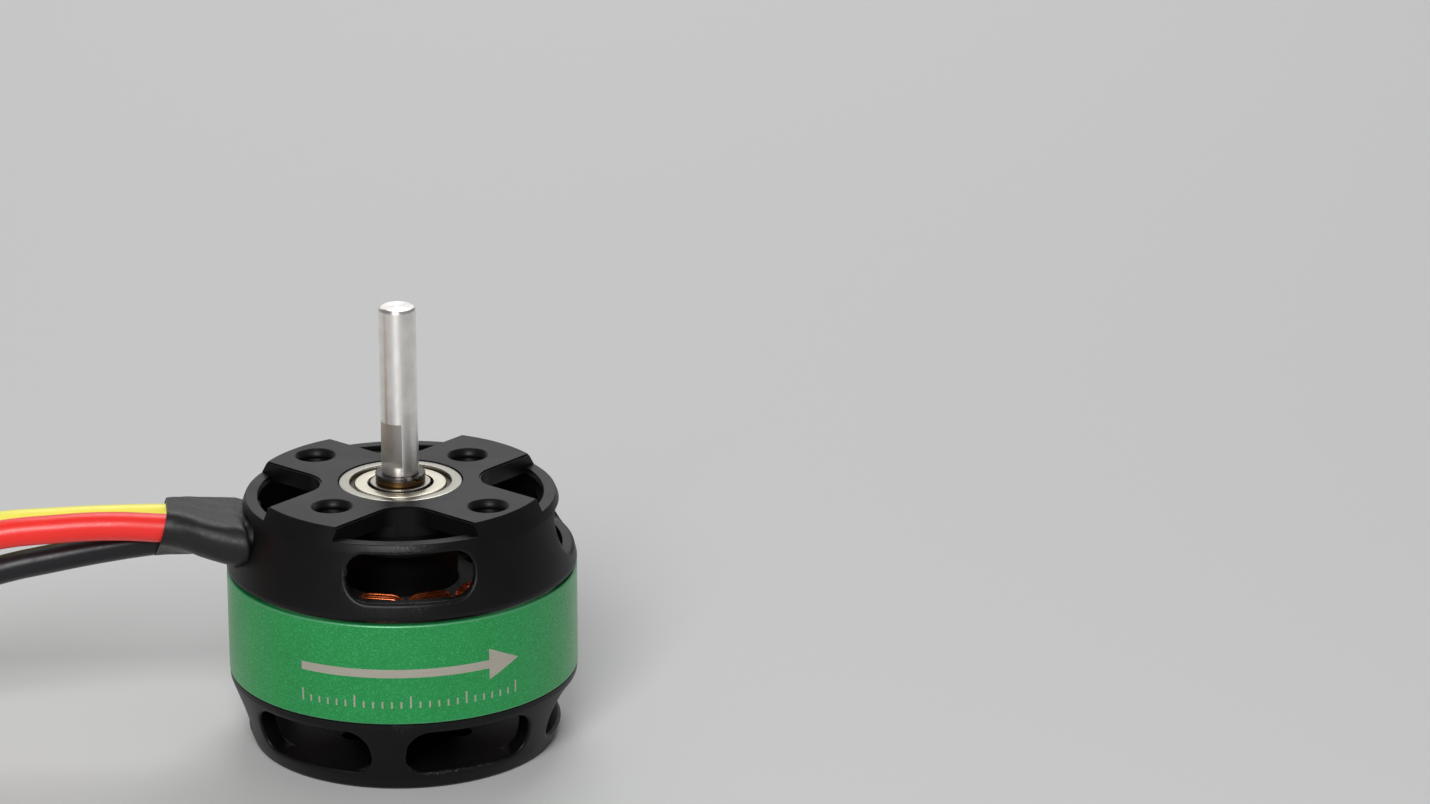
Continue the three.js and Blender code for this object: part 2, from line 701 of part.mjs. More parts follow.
function plug() {
  const profile = [
    [0, 0],
    [PLUG_NECK_RADIUS, 0],
    [PLUG_NECK_RADIUS, PLUG_NECK_LENGTH],
    [PLUG_RADIUS, PLUG_NECK_LENGTH],
    [PLUG_RADIUS, PLUG_LENGTH - PLUG_NOSE],
    [PLUG_RADIUS - PLUG_NOSE, PLUG_LENGTH],
    [0, PLUG_LENGTH],
  ];
  return turned(profile, TINY_FACETS);
}

// Static side.
add('mount_base', toGeometry(mountBase()), 0x232325, 0.45, 0.6);
add('stator_core', toGeometry(statorCore()), 0x3a3a3c, 0.6, 0.5);
const coilSolid = toGeometry(coil());
for (let i = 0; i < TOOTH_COUNT; i += 1) {
  const name = `coil_${String(i + 1).padStart(2, '0')}`;
  add(name, aboutAxis(coilSolid, TOOTH_ANGLE + (360 / TOOTH_COUNT) * i), 0xb4501e, 0.35, 0.8);
}
bearing(FRONT_BEARING);
bearing(REAR_BEARING);

// Rotor.
add('shaft', toGeometry(shaft()), 0xc8c6c2, 0.2, 1);
add('end_bell', toGeometry(endBell()), 0x232325, 0.45, 0.6);
add('flux_ring', fluxRing(), 0x1f7a45, 0.35, 0.6);
for (let i = 0; i < MAGNET_COUNT; i += 1) {
  const name = `magnet_${String(i + 1).padStart(2, '0')}`;
  add(name, aboutAxis(magnet(), (360 / MAGNET_COUNT) * i), 0x9a9a9c, 0.3, 1);
}
add('retaining_clip', toGeometry(retainingClip()), 0x3a3836, 0.4, 0.9);
const washerBore = SHAFT_RADIUS + FIT;
const shim = ring(washerBore, SHIM_RADIUS, SHIM_BOTTOM_Z, SHIM_TOP_Z, SMALL_FACETS);
add('shim_washer', shim, 0xb08a3c, 0.35, 1);
const spacer = ring(washerBore, SPACER_RADIUS, SPACER_BOTTOM_Z, SPACER_TOP_Z, SMALL_FACETS);
add('rear_spacer', spacer, 0xb08a3c, 0.35, 1);
GRUB_ANGLES.forEach((angle, i) => {
  add(`grub_screw_${i + 1}`, aboutAxis(toGeometry(grubScrew()), angle), 0x2b2b2d, 0.4, 0.9);
});

// Leads.
add('lead_sleeve', toGeometry(sleeve()), 0x1a1a1a, 0.6, 0);
for (const lead of LEADS) {
  const section = roundSection(LEAD_RADIUS, LEAD_FACETS);
  add(`lead_${lead.name}`, sweep(section, lead.points, LEAD_STEPS), lead.color, 0.45, 0);
  const [x, y, z] = lead.points.at(-1);
  const collarStart = x + COLLAR_LEAD_BORE - CORD_GAP;
  const plugStart = collarStart - COLLAR_LENGTH + COLLAR_PLUG_BORE - CORD_GAP;
  const collarPiece = layAlongLead(collar(), collarStart, y, z);
  add(`plug_collar_${lead.name}`, collarPiece, 0x161616, 0.6, 0);
  add(`bullet_plug_${lead.name}`, layAlongLead(plug(), plugStart, y, z), 0xc9a24a, 0.25, 1);
}

export default root;
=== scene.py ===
# Looks of a small brushless outrunner motor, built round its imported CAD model.
# Lengths are millimetres in the CAD model's frame, unless a name says otherwise. Every mesh is
# made in millimetres and written in metres. +Z runs along the shaft, z = 0 is the bell's flat
# end, and the leads leave along -X.

import math
import random

import bmesh
import bpy
from mathutils import Matrix, Vector, noise


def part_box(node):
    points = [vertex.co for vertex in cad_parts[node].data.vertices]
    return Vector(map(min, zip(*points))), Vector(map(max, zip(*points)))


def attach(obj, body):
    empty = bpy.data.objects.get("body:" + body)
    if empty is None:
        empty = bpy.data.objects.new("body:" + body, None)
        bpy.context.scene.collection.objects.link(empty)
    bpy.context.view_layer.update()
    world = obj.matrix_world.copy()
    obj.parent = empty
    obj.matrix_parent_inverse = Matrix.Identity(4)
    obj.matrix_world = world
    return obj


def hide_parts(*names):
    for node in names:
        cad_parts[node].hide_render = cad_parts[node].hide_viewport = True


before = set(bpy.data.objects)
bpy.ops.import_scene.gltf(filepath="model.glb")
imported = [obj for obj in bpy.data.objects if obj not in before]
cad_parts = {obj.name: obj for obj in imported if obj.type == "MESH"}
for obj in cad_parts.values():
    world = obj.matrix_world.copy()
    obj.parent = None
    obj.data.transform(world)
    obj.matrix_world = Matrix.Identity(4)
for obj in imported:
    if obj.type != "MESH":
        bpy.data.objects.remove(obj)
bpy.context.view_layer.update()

MM = 0.001
# Facets of a full turn on the large, middle-sized and small round parts.
ROUND = 288
FINE = 96
SMALL = 48
# Radius of the holes that fit the shaft.
SHAFT_HOLE = 1.54


# ---------------------------------------------------------------- camera

CAMERA_PLACE = (-10.92, -395.56, 162.75)
CAMERA_PITCH_DOWN = 18.787
CAMERA_YAW_RIGHT = 5.250
CAMERA_LENS = 131.1
SENSOR_WIDTH = 36.0


def make_camera():
    data = bpy.data.cameras.new("camera")
    data.lens = CAMERA_LENS
    data.sensor_width = SENSOR_WIDTH
    data.clip_start = 0.01
    data.clip_end = 20
    camera = bpy.data.objects.new("camera", data)
    bpy.context.scene.collection.objects.link(camera)
    camera.location = Vector(CAMERA_PLACE) * MM
    pitch = math.radians(90 - CAMERA_PITCH_DOWN)
    camera.rotation_euler = (pitch, 0, math.radians(-CAMERA_YAW_RIGHT))
    bpy.context.scene.camera = camera


# ---------------------------------------------------------------- materials

class Paint:
    """One material: a Principled shader and the nodes that drive it."""

    def __init__(self, name, colour, roughness, metallic=0.0, **inputs):
        self.material = bpy.data.materials.new(name)
        self.material.use_nodes = True
        self.tree = self.material.node_tree
        self.shader = self.tree.nodes["Principled BSDF"]
        self.set("Base Color", (*colour, 1))
        self.set("Roughness", roughness)
        self.set("Metallic", metallic)
        for socket, value in inputs.items():
            self.set(socket.replace("_", " "), value)
        self.place = self.add("ShaderNodeTexCoord").outputs["Object"]

    def set(self, socket, value):
        """Gives one input of the Principled shader a number, a colour or another node's output."""
        if isinstance(value, bpy.types.NodeSocket):
            self.tree.links.new(value, self.shader.inputs[socket])
        else:
            self.shader.inputs[socket].default_value = value

    def add(self, kind, inputs=None, **settings):
        node = self.tree.nodes.new(kind)
        for key, value in settings.items():
            setattr(node, key, value)
        for key, value in (inputs or {}).items():
            if isinstance(value, bpy.types.NodeSocket):
                self.tree.links.new(value, node.inputs[key])
            else:
                node.inputs[key].default_value = value
        return node

    def noise(self, size, detail=2.0, distort=0.0, stretch=(1, 1, 1)):
        """Noise whose lumps are about this many millimetres across, drawn out by stretch."""
        place = self.add("ShaderNodeVectorMath", {0: self.place, 1: stretch}, operation="DIVIDE")
        inputs = {
            "Vector": place.outputs[0],
            "Scale": 1 / (size * MM),
            "Detail": detail,
            "Distortion": distort,
        }
        return self.add("ShaderNodeTexNoise", inputs).outputs["Fac"]

    def cells(self, size):
        """A random colour for each of the cells that are about this many millimetres across."""
        inputs = {"Vector": self.place, "Scale": 1 / (size * MM)}
        return self.add("ShaderNodeTexVoronoi", inputs).outputs["Color"]

    def between(self, value, low, high, to_low=0.0, to_high=1.0):
        inputs = {0: value, 1: low, 2: high, 3: to_low, 4: to_high}
        return self.add("ShaderNodeMapRange", inputs).outputs[0]

    def math(self, operation, a, b=0.0):
        return self.add("ShaderNodeMath", {0: a, 1: b}, operation=operation).outputs[0]

    def blend(self, share, a, b):
        """A colour that goes from a to b as share goes from 0 to 1."""
        node = self.add("ShaderNodeMix", {"Factor": share}, data_type="RGBA")
        for key, value in ((6, a), (7, b)):
            if isinstance(value, bpy.types.NodeSocket):
                self.tree.links.new(value, node.inputs[key])
            else:
                node.inputs[key].default_value = (*value, 1)
        return node.outputs[2]

    def near(self, place, size):
        """1 at a place in millimetres, falling to 0 at this distance from it."""
        metres = tuple(c * MM for c in place)
        away = self.add("ShaderNodeVectorMath", {0: self.place, 1: metres}, operation="DISTANCE")
        return self.between(away.outputs["Value"], 0, size * MM, 1, 0)

    def from_axis(self):
        """Distance from the shaft's axis in millimetres."""
        flat = self.add("ShaderNodeVectorMath", {0: self.place, 1: (1, 1, 0)}, operation="MULTIPLY")
        away = self.add("ShaderNodeVectorMath", {0: flat.outputs[0]}, operation="LENGTH")
        return self.math("DIVIDE", away.outputs["Value"], MM)

    def wear_and_sheen(self):
        """1 along the object's outer edges and 0 away from them, as each mesh says."""
        return self.add("ShaderNodeAttribute", attribute_name="wear_and_sheen").outputs["Fac"]

    def bump(self, height, strength, depth):
        """Bump from a height of 0 to 1, this many millimetres deep."""
        inputs = {"Height": height, "Strength": strength, "Distance": depth * MM}
        node = self.add("ShaderNodeBump", inputs)
        self.set("Normal", node.outputs[0])


# Painted glints on the front of the black parts: places, and how far each painted glint reaches.
FRONT_GLINTS = [((0.2, -12.6, 20.6), 2.3), ((0.9, -13.9, 16.4), 1.1), ((-0.6, -14.1, 6.3), 1.1)]

EDGE_WEAR = 0.2


def black_anodised():
    paint = Paint("black_anodised", (0.006, 0.006, 0.0065), 0.4, Specular_IOR_Level=0.22)
    cloud = paint.noise(3.0, 3)
    grain = paint.noise(0.07, 2)
    fine_spots = paint.between(paint.noise(0.13, 4), 0.56, 0.66)
    patches = paint.between(paint.noise(4.5, 2), 0.53, 0.62)
    worn_edge = paint.math("MULTIPLY", paint.math("MULTIPLY", paint.wear_and_sheen(), patches), fine_spots)
    worn_edge = paint.math("MULTIPLY", worn_edge, EDGE_WEAR)
    painted_glints = 0.0
    # Painted glints: pale metallic specks near these front places stand in for highlights.
    for place, size in FRONT_GLINTS:
        painted_glints = paint.math("MAXIMUM", painted_glints, paint.near(place, size))
    glint_grain = paint.between(paint.noise(0.08, 3, 0.5), 0.6, 0.74, 0, 0.75)
    glinting = paint.math("MULTIPLY", painted_glints, glint_grain)
    # Real edge wear and the painted glints are joined here, then lighten and metallise the black.
    wear_and_glints = paint.math("MAXIMUM", worn_edge, glinting)
    black = paint.blend(cloud, (0.002, 0.002, 0.0023), (0.004, 0.004, 0.0044))
    paint.set("Base Color", paint.blend(wear_and_glints, black, (0.36, 0.36, 0.39)))
    paint.set("Metallic", paint.math("MULTIPLY", wear_and_glints, 0.9))
    paint.set("Roughness", paint.between(cloud, 0.3, 0.7, 0.37, 0.44))
    paint.bump(grain, 0.3, 0.01)
    return paint.material


FLAKE_TILT = 0.16


def flake_green():
    """Pearl green on the outside of the ring, dark bare steel on its inside."""
    paint = Paint("flake_green", (0.03, 0.30, 0.12), 0.35, 0.4, Coat_Roughness=0.14)
    flake = paint.cells(0.06)
    sparkle = paint.between(paint.add("ShaderNodeSeparateColor", {0: flake}).outputs[0], 0.78, 1.0)
    cloud = paint.noise(2.5, 3)
    green = paint.blend(cloud, (0.008, 0.27, 0.058), (0.012, 0.33, 0.073))
    bright = paint.blend(sparkle, green, (0.05, 0.50, 0.18))
    # Painted highlight: every rounded edge is lightened halfway towards a paler green.
    edge = paint.math("MULTIPLY", paint.wear_and_sheen(), 0.5)
    outside = paint.between(paint.from_axis(), 13.5, 13.6)
    finish = paint.blend(edge, bright, (0.2, 0.5, 0.3))
    paint.set("Base Color", paint.blend(outside, (0.05, 0.05, 0.047), finish))
    paint.set("Metallic", paint.between(outside, 0, 1, 0.9, 0.4))
    paint.set("Coat Weight", paint.math("MULTIPLY", outside, 0.3))
    paint.set("Roughness", paint.between(sparkle, 0, 1, 0.42, 0.34))
    tilt = paint.add("ShaderNodeVectorMath", {0: flake, 1: (0.5, 0.5, 0.5)}, operation="SUBTRACT")
    small = paint.add(
        "ShaderNodeVectorMath", {0: tilt.outputs[0], "Scale": FLAKE_TILT}, operation="SCALE"
    )
    normal = paint.add("ShaderNodeNewGeometry").outputs["Normal"]
    leaning = paint.add(
        "ShaderNodeVectorMath", {0: normal, 1: small.outputs[0]}, operation="ADD"
    )
    paint.set("Normal", leaning.outputs[0])
    return paint.material


def etched_silver():
    paint = Paint("etched_silver", (0.45, 0.42, 0.36), 0.45, 0.5)
    lines = paint.noise(0.07, 3, stretch=(40, 40, 1))
    paint.set("Base Color", paint.blend(lines, (0.38, 0.35, 0.29), (0.56, 0.53, 0.46)))
    paint.bump(lines, 0.3, 0.01)
    return paint.material


def ground_steel(name, colour, roughness, stretch, dark_zone=None, **inputs):
    """Bare steel with fine grinding marks, drawn out along stretch. The dark zone is a range of
    distances from the axis, a range of heights and a colour, for a milled part of it, and on the shield
    for painted shade in its recessed step."""
    paint = Paint(name, colour, roughness, 1.0, **inputs)
    lines = paint.noise(0.03, 3, stretch=stretch)
    cloud = paint.noise(1.2, 3)
    dull = tuple(c * 0.78 for c in colour)
    shade = paint.math("MULTIPLY", paint.between(lines, 0.2, 0.8), cloud)
    finish = paint.blend(shade, colour, dull)
    if dark_zone:
        (near, far), (low, high), dark = dark_zone
        height = paint.add("ShaderNodeSeparateXYZ", {0: paint.place}).outputs[2]
        in_zone = paint.math("GREATER_THAN", paint.from_axis(), near)
        for value, limit, test in (
            (paint.from_axis(), far, "LESS_THAN"),
            (height, low * MM, "GREATER_THAN"),
            (height, high * MM, "LESS_THAN"),
        ):
            in_zone = paint.math("MULTIPLY", in_zone, paint.math(test, value, limit))
        finish = paint.blend(in_zone, finish, dark)
    paint.set("Base Color", finish)
    paint.set("Roughness", paint.between(cloud, 0.3, 0.7, roughness * 0.85, roughness * 1.2))
    paint.bump(lines, 0.15, 0.004)
    return paint.material


def enamelled_copper():
    paint = Paint("enamelled_copper", (0.62, 0.17, 0.06), 0.25, 0.95, Coat_Weight=0.5)
    tone = paint.noise(0.8, 2)
    paint.set("Base Color", paint.blend(tone, (0.40, 0.06, 0.018), (0.66, 0.16, 0.05)))
    paint.set("Roughness", paint.between(tone, 0.3, 0.7, 0.2, 0.34))
    paint.bump(paint.noise(0.15, 2), 0.1, 0.01)
    return paint.material


def laminated_core():
    paint = Paint("laminated_core", (0.03, 0.03, 0.035), 0.6, 0.0, Specular_IOR_Level=0.3)
    height = paint.add("ShaderNodeSeparateXYZ", {0: paint.place}).outputs[2]
    sheet = paint.math("FRACT", paint.math("MULTIPLY", height, 1 / (0.2 * MM)))
    gap = paint.between(paint.math("ABSOLUTE", paint.math("SUBTRACT", sheet, 0.5)), 0.36, 0.48)
    tone = paint.noise(1.5, 3)
    coat = paint.blend(tone, (0.022, 0.022, 0.026), (0.042, 0.042, 0.047))
    paint.set("Base Color", paint.blend(gap, coat, (0.008, 0.008, 0.008)))
    paint.bump(paint.math("SUBTRACT", 1.0, gap), 0.5, 0.03)
    return paint.material


def moulded(name, colour, other, roughness, lump, depth, **inputs):
    """Rubber or plastic with a soft mottle between two colours and a fine skin."""
    paint = Paint(name, colour, roughness, **inputs)
    tone = paint.noise(4.0, 3)
    skin = paint.noise(lump, 3)
    paint.set("Base Color", paint.blend(tone, colour, other))
    paint.set("Roughness", paint.between(skin, 0.3, 0.7, roughness * 0.88, roughness * 1.15))
    paint.bump(skin, 0.35, depth)
    return paint.material


def plated(name, colour, other, roughness):
    """Plated or turned metal with a cloudy tone and worn edges."""
    paint = Paint(name, colour, roughness, 1.0)
    cloud = paint.noise(0.9, 4)
    tone = paint.blend(cloud, colour, other)
    pale = tuple(min(1.0, c * 1.35) for c in colour)
    paint.set("Base Color", paint.blend(paint.math("MULTIPLY", paint.wear_and_sheen(), 0.7), tone, pale))
    paint.set("Roughness", paint.between(cloud, 0.3, 0.7, roughness * 0.8, roughness * 1.3))
    paint.bump(paint.noise(0.06, 2, stretch=(1, 1, 6)), 0.12, 0.005)
    return paint.material


def make_materials():
    along_shaft = (1, 1, 30)
    around = (8, 8, 1)
    return {
        "black_anodised": black_anodised(),
        "green_ring": flake_green(),
        "marking": etched_silver(),
        "shaft_steel": ground_steel(
            "shaft_steel", (0.98, 0.95, 0.92), 0.33, around,
            ((0, 1.47), (23.0, 27.2), (0.82, 0.80, 0.76)), Anisotropic=0.7, Anisotropic_Rotation=0.25,
        ),
        "race_steel": ground_steel("race_steel", (0.46, 0.445, 0.39), 0.28, around),
        # Painted shade: the shield's recessed step ring, 3.7 to 4.5 mm from the axis, is coloured dark
        # brown.
        "shield_steel": ground_steel(
            "shield_steel", (0.70, 0.66, 0.55), 0.34, around, ((3.7, 4.5), (0, 40), (0.07, 0.055, 0.03))
        ),
        "ball_steel": ground_steel("ball_steel", (0.8, 0.8, 0.8), 0.1, along_shaft),
        "dark_steel": plated("dark_steel", (0.09, 0.085, 0.08), (0.05, 0.045, 0.04), 0.32),
        "brass_shim": plated("brass_shim", (0.10, 0.055, 0.022), (0.05, 0.028, 0.014), 0.36),
        "gold_plate": plated("gold_plate", (0.88, 0.62, 0.22), (0.78, 0.52, 0.17), 0.2),
        "magnet": plated("magnet", (0.24, 0.23, 0.22), (0.16, 0.155, 0.15), 0.4),
        "copper": enamelled_copper(),
        "core_steel": laminated_core(),
        "shrink_tube": moulded(
            "shrink_tube", (0.008, 0.0078, 0.0076), (0.014, 0.0136, 0.013), 0.42, 0.35, 0.02,
            Specular_IOR_Level=0.3,
        ),
        "silicone_red": moulded(
            "silicone_red", (0.97, 0.020, 0.014), (0.92, 0.016, 0.012), 0.38, 0.5, 0.01,
            Subsurface_Weight=0.1, Coat_Weight=0.1,
        ),
        "silicone_yellow": moulded(
            "silicone_yellow", (0.97, 0.91, 0.13), (0.94, 0.86, 0.10), 0.38, 0.5, 0.01,
            Subsurface_Weight=0.1, Coat_Weight=0.1,
        ),
        "silicone_black": moulded(
            "silicone_black", (0.006, 0.006, 0.008), (0.010, 0.010, 0.013), 0.36, 0.5, 0.01,
            Specular_IOR_Level=0.35,
        ),
    }


# ---------------------------------------------------------------- shapes

def soften(profile, radius, steps=3):
    """Rounds the corners of a closed profile of (radius, height) points. A third number in a point
    is that corner's own rounding."""
    points = []
    for i, corner in enumerate(profile):
        here = Vector(corner[:2])
        size = corner[2] if len(corner) > 2 else radius
        to_before = Vector(profile[i - 1][:2]) - here
        to_after = Vector(profile[(i + 1) % len(profile)][:2]) - here
        half = to_before.angle(to_after) / 2
        if size <= 0 or here.x < 1e-6 or half > math.radians(88):
            points.append(tuple(here))
            continue
        reach = min(size / math.tan(half), 0.45 * to_before.length, 0.45 * to_after.length)
        start = here + to_before.normalized() * reach
        end = here + to_after.normalized() * reach
        for step in range(steps + 1):
            t = step / steps
            points.append(tuple(start * (1 - t) ** 2 + here * 2 * t * (1 - t) + end * t * t))
    return points


def lathe(profile, facets=FINE):
    """Turns a closed profile of (radius, height) points about the Z axis."""
    shape = bmesh.new()
    rings = []
    for radius, height in profile:
        if radius < 1e-6:
            rings.append([shape.verts.new((0, 0, height))])
            continue
        turn = [2 * math.pi * k / facets for k in range(facets)]
        rings.append([
            shape.verts.new((radius * math.cos(a), radius * math.sin(a), height)) for a in turn
        ])
    for lower, upper in zip(rings, rings[1:] + rings[:1]):
        if len(lower) == 1 and len(upper) == 1:
            continue
        for k in range(facets):
            after = (k + 1) % facets
            corners = [
                lower[k % len(lower)], lower[after % len(lower)],
                upper[after % len(upper)], upper[k % len(upper)],
            ]
            shape.faces.new(list(dict.fromkeys(corners)))
    bmesh.ops.recalc_face_normals(shape, faces=shape.faces)
    return shape


def prism(outline, low, high):
    """Stands a flat outline of (x, y) points up from one height to another."""
    shape = bmesh.new()
    bottom = [shape.verts.new((x, y, low)) for x, y in outline]
    top = [shape.verts.new((x, y, high)) for x, y in outline]
    shape.faces.new(list(reversed(bottom)))
    shape.faces.new(top)
    for i in range(len(outline)):
        after = (i + 1) % len(outline)
        shape.faces.new([bottom[i], bottom[after], top[after], top[i]])
    bmesh.ops.recalc_face_normals(shape, faces=shape.faces)
    return shape


def arc(centre, radius, start, end, steps):
    """Points along an arc, with its angles in degrees."""
    points = []
    for step in range(steps + 1):
        angle = math.radians(start + (end - start) * step / steps)
        points.append((centre[0] + radius * math.cos(angle), centre[1] + radius * math.sin(angle)))
    return points


def rounded_rectangle(width, height, corner, steps=8):
    x, y = width / 2 - corner, height / 2 - corner
    points = []
    for centre, start in (((x, -y), -90), ((x, y), 0), ((-x, y), 90), ((-x, -y), 180)):
        points += arc(centre, corner, start, start + 90, steps)
    return points


def turned(shape, degrees, axis="Z"):
    bmesh.ops.rotate(shape, verts=shape.verts, matrix=Matrix.Rotation(math.radians(degrees), 3, axis))
    return shape


def moved(shape, x, y, z):
    bmesh.ops.translate(shape, verts=shape.verts, vec=(x, y, z))
    return shape


def outward(shape, start, height, degrees):
    """Lays a piece made along +Z out along a radius, with its Y as the height."""
    turned(shape, 90, "Y")
    turned(shape, 90, "X")
    moved(shape, start, 0, height)
    return turned(shape, degrees)


def height_radius(profile, height):
    """Radius of a wall given as (radius, height) points, at one height."""
    for (r_low, low), (r_high, high) in zip(profile, profile[1:]):
        if low <= height <= high:
            return r_low + (r_high - r_low) * (height - low) / (high - low)
    return profile[0][0] if height < profile[0][1] else profile[-1][0]


def spaced(outline, gap=0.4):
    """A closed outline with its long sides divided."""
    points = []
    for (x, y), (x_next, y_next) in zip(outline, outline[1:] + outline[:1]):
        parts = max(1, round(math.hypot(x_next - x, y_next - y) / gap))
        points += [(x + (x_next - x) * k / parts, y + (y_next - y) * k / parts) for k in range(parts)]
    return points


def edge_tool(outline, width, place):
    """A tool that rounds the edge of a cut. It goes round the cut's outline, which turns
    counter-clockwise. place gives a tool point from its two outline numbers and its depth."""
    steps = 5
    past = 0.15
    turn = [math.pi / 2 * k / steps for k in range(steps + 1)]
    section = [(width - width * math.cos(a), width - width * math.sin(a)) for a in turn]
    section += [(width, -past), (-past, -past), (-past, width)]
    shape = bmesh.new()
    rings = []
    for i, (x, y) in enumerate(outline):
        before, after = Vector(outline[i - 1]), Vector(outline[(i + 1) % len(outline)])
        run = (after - before).normalized()
        rings.append([
            shape.verts.new(place(x + run.y * out, y - run.x * out, depth)) for out, depth in section
        ])
    for first, second in zip(rings, rings[1:] + rings[:1]):
        for k in range(len(section)):
            after = (k + 1) % len(section)
            shape.faces.new([first[k], first[after], second[after], second[k]])
    bmesh.ops.recalc_face_normals(shape, faces=shape.faces)
    return shape


def window_tool(outline, middle, wall, width, degrees):
    """Rounds the outer edge of a window cut along a radius. The outline's points are (across, up)
    from the window's middle, and the wall is the (radius, height) line that it cuts."""
    def place(across, up, depth):
        radius = height_radius(wall, middle + up)
        return math.sqrt(radius ** 2 - across ** 2) - depth, across, middle + up

    return turned(edge_tool(spaced(outline), width, place), degrees)


def top_tool(outline, face, width, degrees):
    """Rounds the upper edge of a cut that goes straight down from a flat face."""
    return turned(edge_tool(spaced(outline), width, lambda x, y, depth: (x, y, face - depth)), degrees)


def joined(shapes):
    whole = bmesh.new()
    for shape in shapes:
        mesh = bpy.data.meshes.new("part")
        shape.to_mesh(mesh)
        shape.free()
        whole.from_mesh(mesh)
        bpy.data.meshes.remove(mesh)
    return whole


MERGE_WITHIN = 0.004
FLAT_WITHIN = 0.1


def carve(shape, cutters, added=()):
    """Joins the added shapes to a shape, then cuts each cutter out, and gives the new shape."""
    def as_object(name, source):
        mesh = bpy.data.meshes.new(name)
        source.to_mesh(mesh)
        source.free()
        obj = bpy.data.objects.new(name, mesh)
        bpy.context.scene.collection.objects.link(obj)
        return obj

    body = as_object("carved", shape)
    tools = []
    for operation, sources in (("UNION", added), ("DIFFERENCE", cutters)):
        for source in sources:
            tool = as_object("tool", source)
            step = body.modifiers.new("step", "BOOLEAN")
            step.operation = operation
            step.solver = "MANIFOLD"
            step.object = tool
            tools.append(tool)
    depsgraph = bpy.context.evaluated_depsgraph_get()
    result = bmesh.new()
    result.from_object(body, depsgraph)
    for obj in [body, *tools]:
        mesh = obj.data
        bpy.data.objects.remove(obj)
        bpy.data.meshes.remove(mesh)
    bmesh.ops.remove_doubles(result, verts=result.verts, dist=MERGE_WITHIN)
    flat = math.radians(FLAT_WITHIN)
    bmesh.ops.dissolve_limit(result, angle_limit=flat, verts=result.verts, edges=result.edges)
    return result


def break_edges(shape, width, sharp_from=28, steps=2):
    """Bevels every edge sharper than this many degrees."""
    limit = math.radians(sharp_from)
    sharp = [e for e in shape.edges if e.is_manifold and e.calc_face_angle(0) > limit]
    bmesh.ops.bevel(
        shape, geom=sharp, offset=width, offset_type="OFFSET", segments=steps, profile=0.5,
        affect="EDGES", clamp_overlap=False,
    )
    return shape


def mark_wear_and_sheen(shape):
    """Stores 1 on each vertex in the middle of a rounded outer edge, where the materials paint edge
    wear, and on the green ring a painted highlight. There every face is narrow, and the surface turns by
    a moderate angle."""
    wear_and_sheen = shape.verts.layers.float.new("wear_and_sheen")
    narrow = 0.16
    least, most = 0.17, 1.05
    slim = {}
    for face in shape.faces:
        slim[face] = face.calc_area() < narrow * max(e.calc_length() for e in face.edges)
    for vertex in shape.verts:
        turns = [
            e.is_manifold and e.is_convex and least < e.calc_face_angle(0) < most
            for e in vertex.link_edges
        ]
        inside = all(slim[face] for face in vertex.link_faces)
        vertex[wear_and_sheen] = 1.0 if inside and any(turns) else 0.0


def piece(name, shape, look, body, slot, *stands_for):
    """Makes an object of a shape in millimetres, gives it its material and body, and hides the CAD nodes
    that it stands for.
    """
    bmesh.ops.recalc_face_normals(shape, faces=shape.faces)
    mark_wear_and_sheen(shape)
    mesh = bpy.data.meshes.new(name)
    shape.to_mesh(mesh)
    shape.free()
    mesh.transform(Matrix.Scale(MM, 4))
    mesh.materials.append(looks[look])
    mesh.shade_smooth()
    mesh.set_sharp_from_angle(angle=math.radians(50))
    obj = bpy.data.objects.new(name, mesh)
    bpy.context.scene.collection.objects.link(obj)
    weighted = obj.modifiers.new("even_normals", "WEIGHTED_NORMAL")
    weighted.keep_sharp = True
    weighted.weight = 90
    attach(obj, body)
    if stands_for:
        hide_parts(*stands_for)
    return obj


def levels(node):
    """Bottom and top of a CAD node, in millimetres."""
    low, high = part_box(node)
    return low.z / MM, high.z / MM


# ---------------------------------------------------------------- leads

LEAD_RADIUS = 1.15
COLLAR_RADIUS = 2.05
LEAD_ROUTES = {
    "red": [
        (-18.6, -2.7, 19.25),
        (-23.3, -2.8, 19.62),
        (-27.8, -2.9, 19.55),
        (-32.3, -3.0, 19.2),
        (-40.0, -3.4, 17.3),
        (-50.0, -4.2, 12.0),
        (-59.0, -5.0, 6.3),
        (-68.0, -5.6, 2.6),
        (-76.0, -5.9, 1.35),
        (-84.0, -6.0, 2.1),
        (-88.0, -6.0, 2.15),
    ],
    "yellow": [
        (-18.6, 1.2, 18.75),
        (-23.3, 1.25, 18.78),
        (-27.8, 1.35, 18.66),
        (-32.3, 1.5, 18.4),
        (-40.0, 2.2, 16.8),
        (-50.0, 3.4, 11.9),
        (-59.0, 4.6, 6.4),
        (-68.0, 5.6, 2.65),
        (-76.0, 6.1, 1.35),
        (-84.0, 6.3, 2.1),
        (-88.0, 6.3, 2.15),
    ],
    "black": [
        (-18.6, -0.8, 17.7),
        (-23.3, -0.9, 17.15),
        (-27.8, -1.2, 16.5),
        (-32.3, -1.5, 15.7),
        (-39.0, -1.6, 13.6),
        (-48.0, -1.2, 9.2),
        (-57.0, -0.6, 4.8),
        (-66.0, -0.1, 2.15),
        (-75.0, 0.1, 1.35),
        (-84.0, 0.2, 2.1),
        (-88.0, 0.2, 2.15),
    ],
}


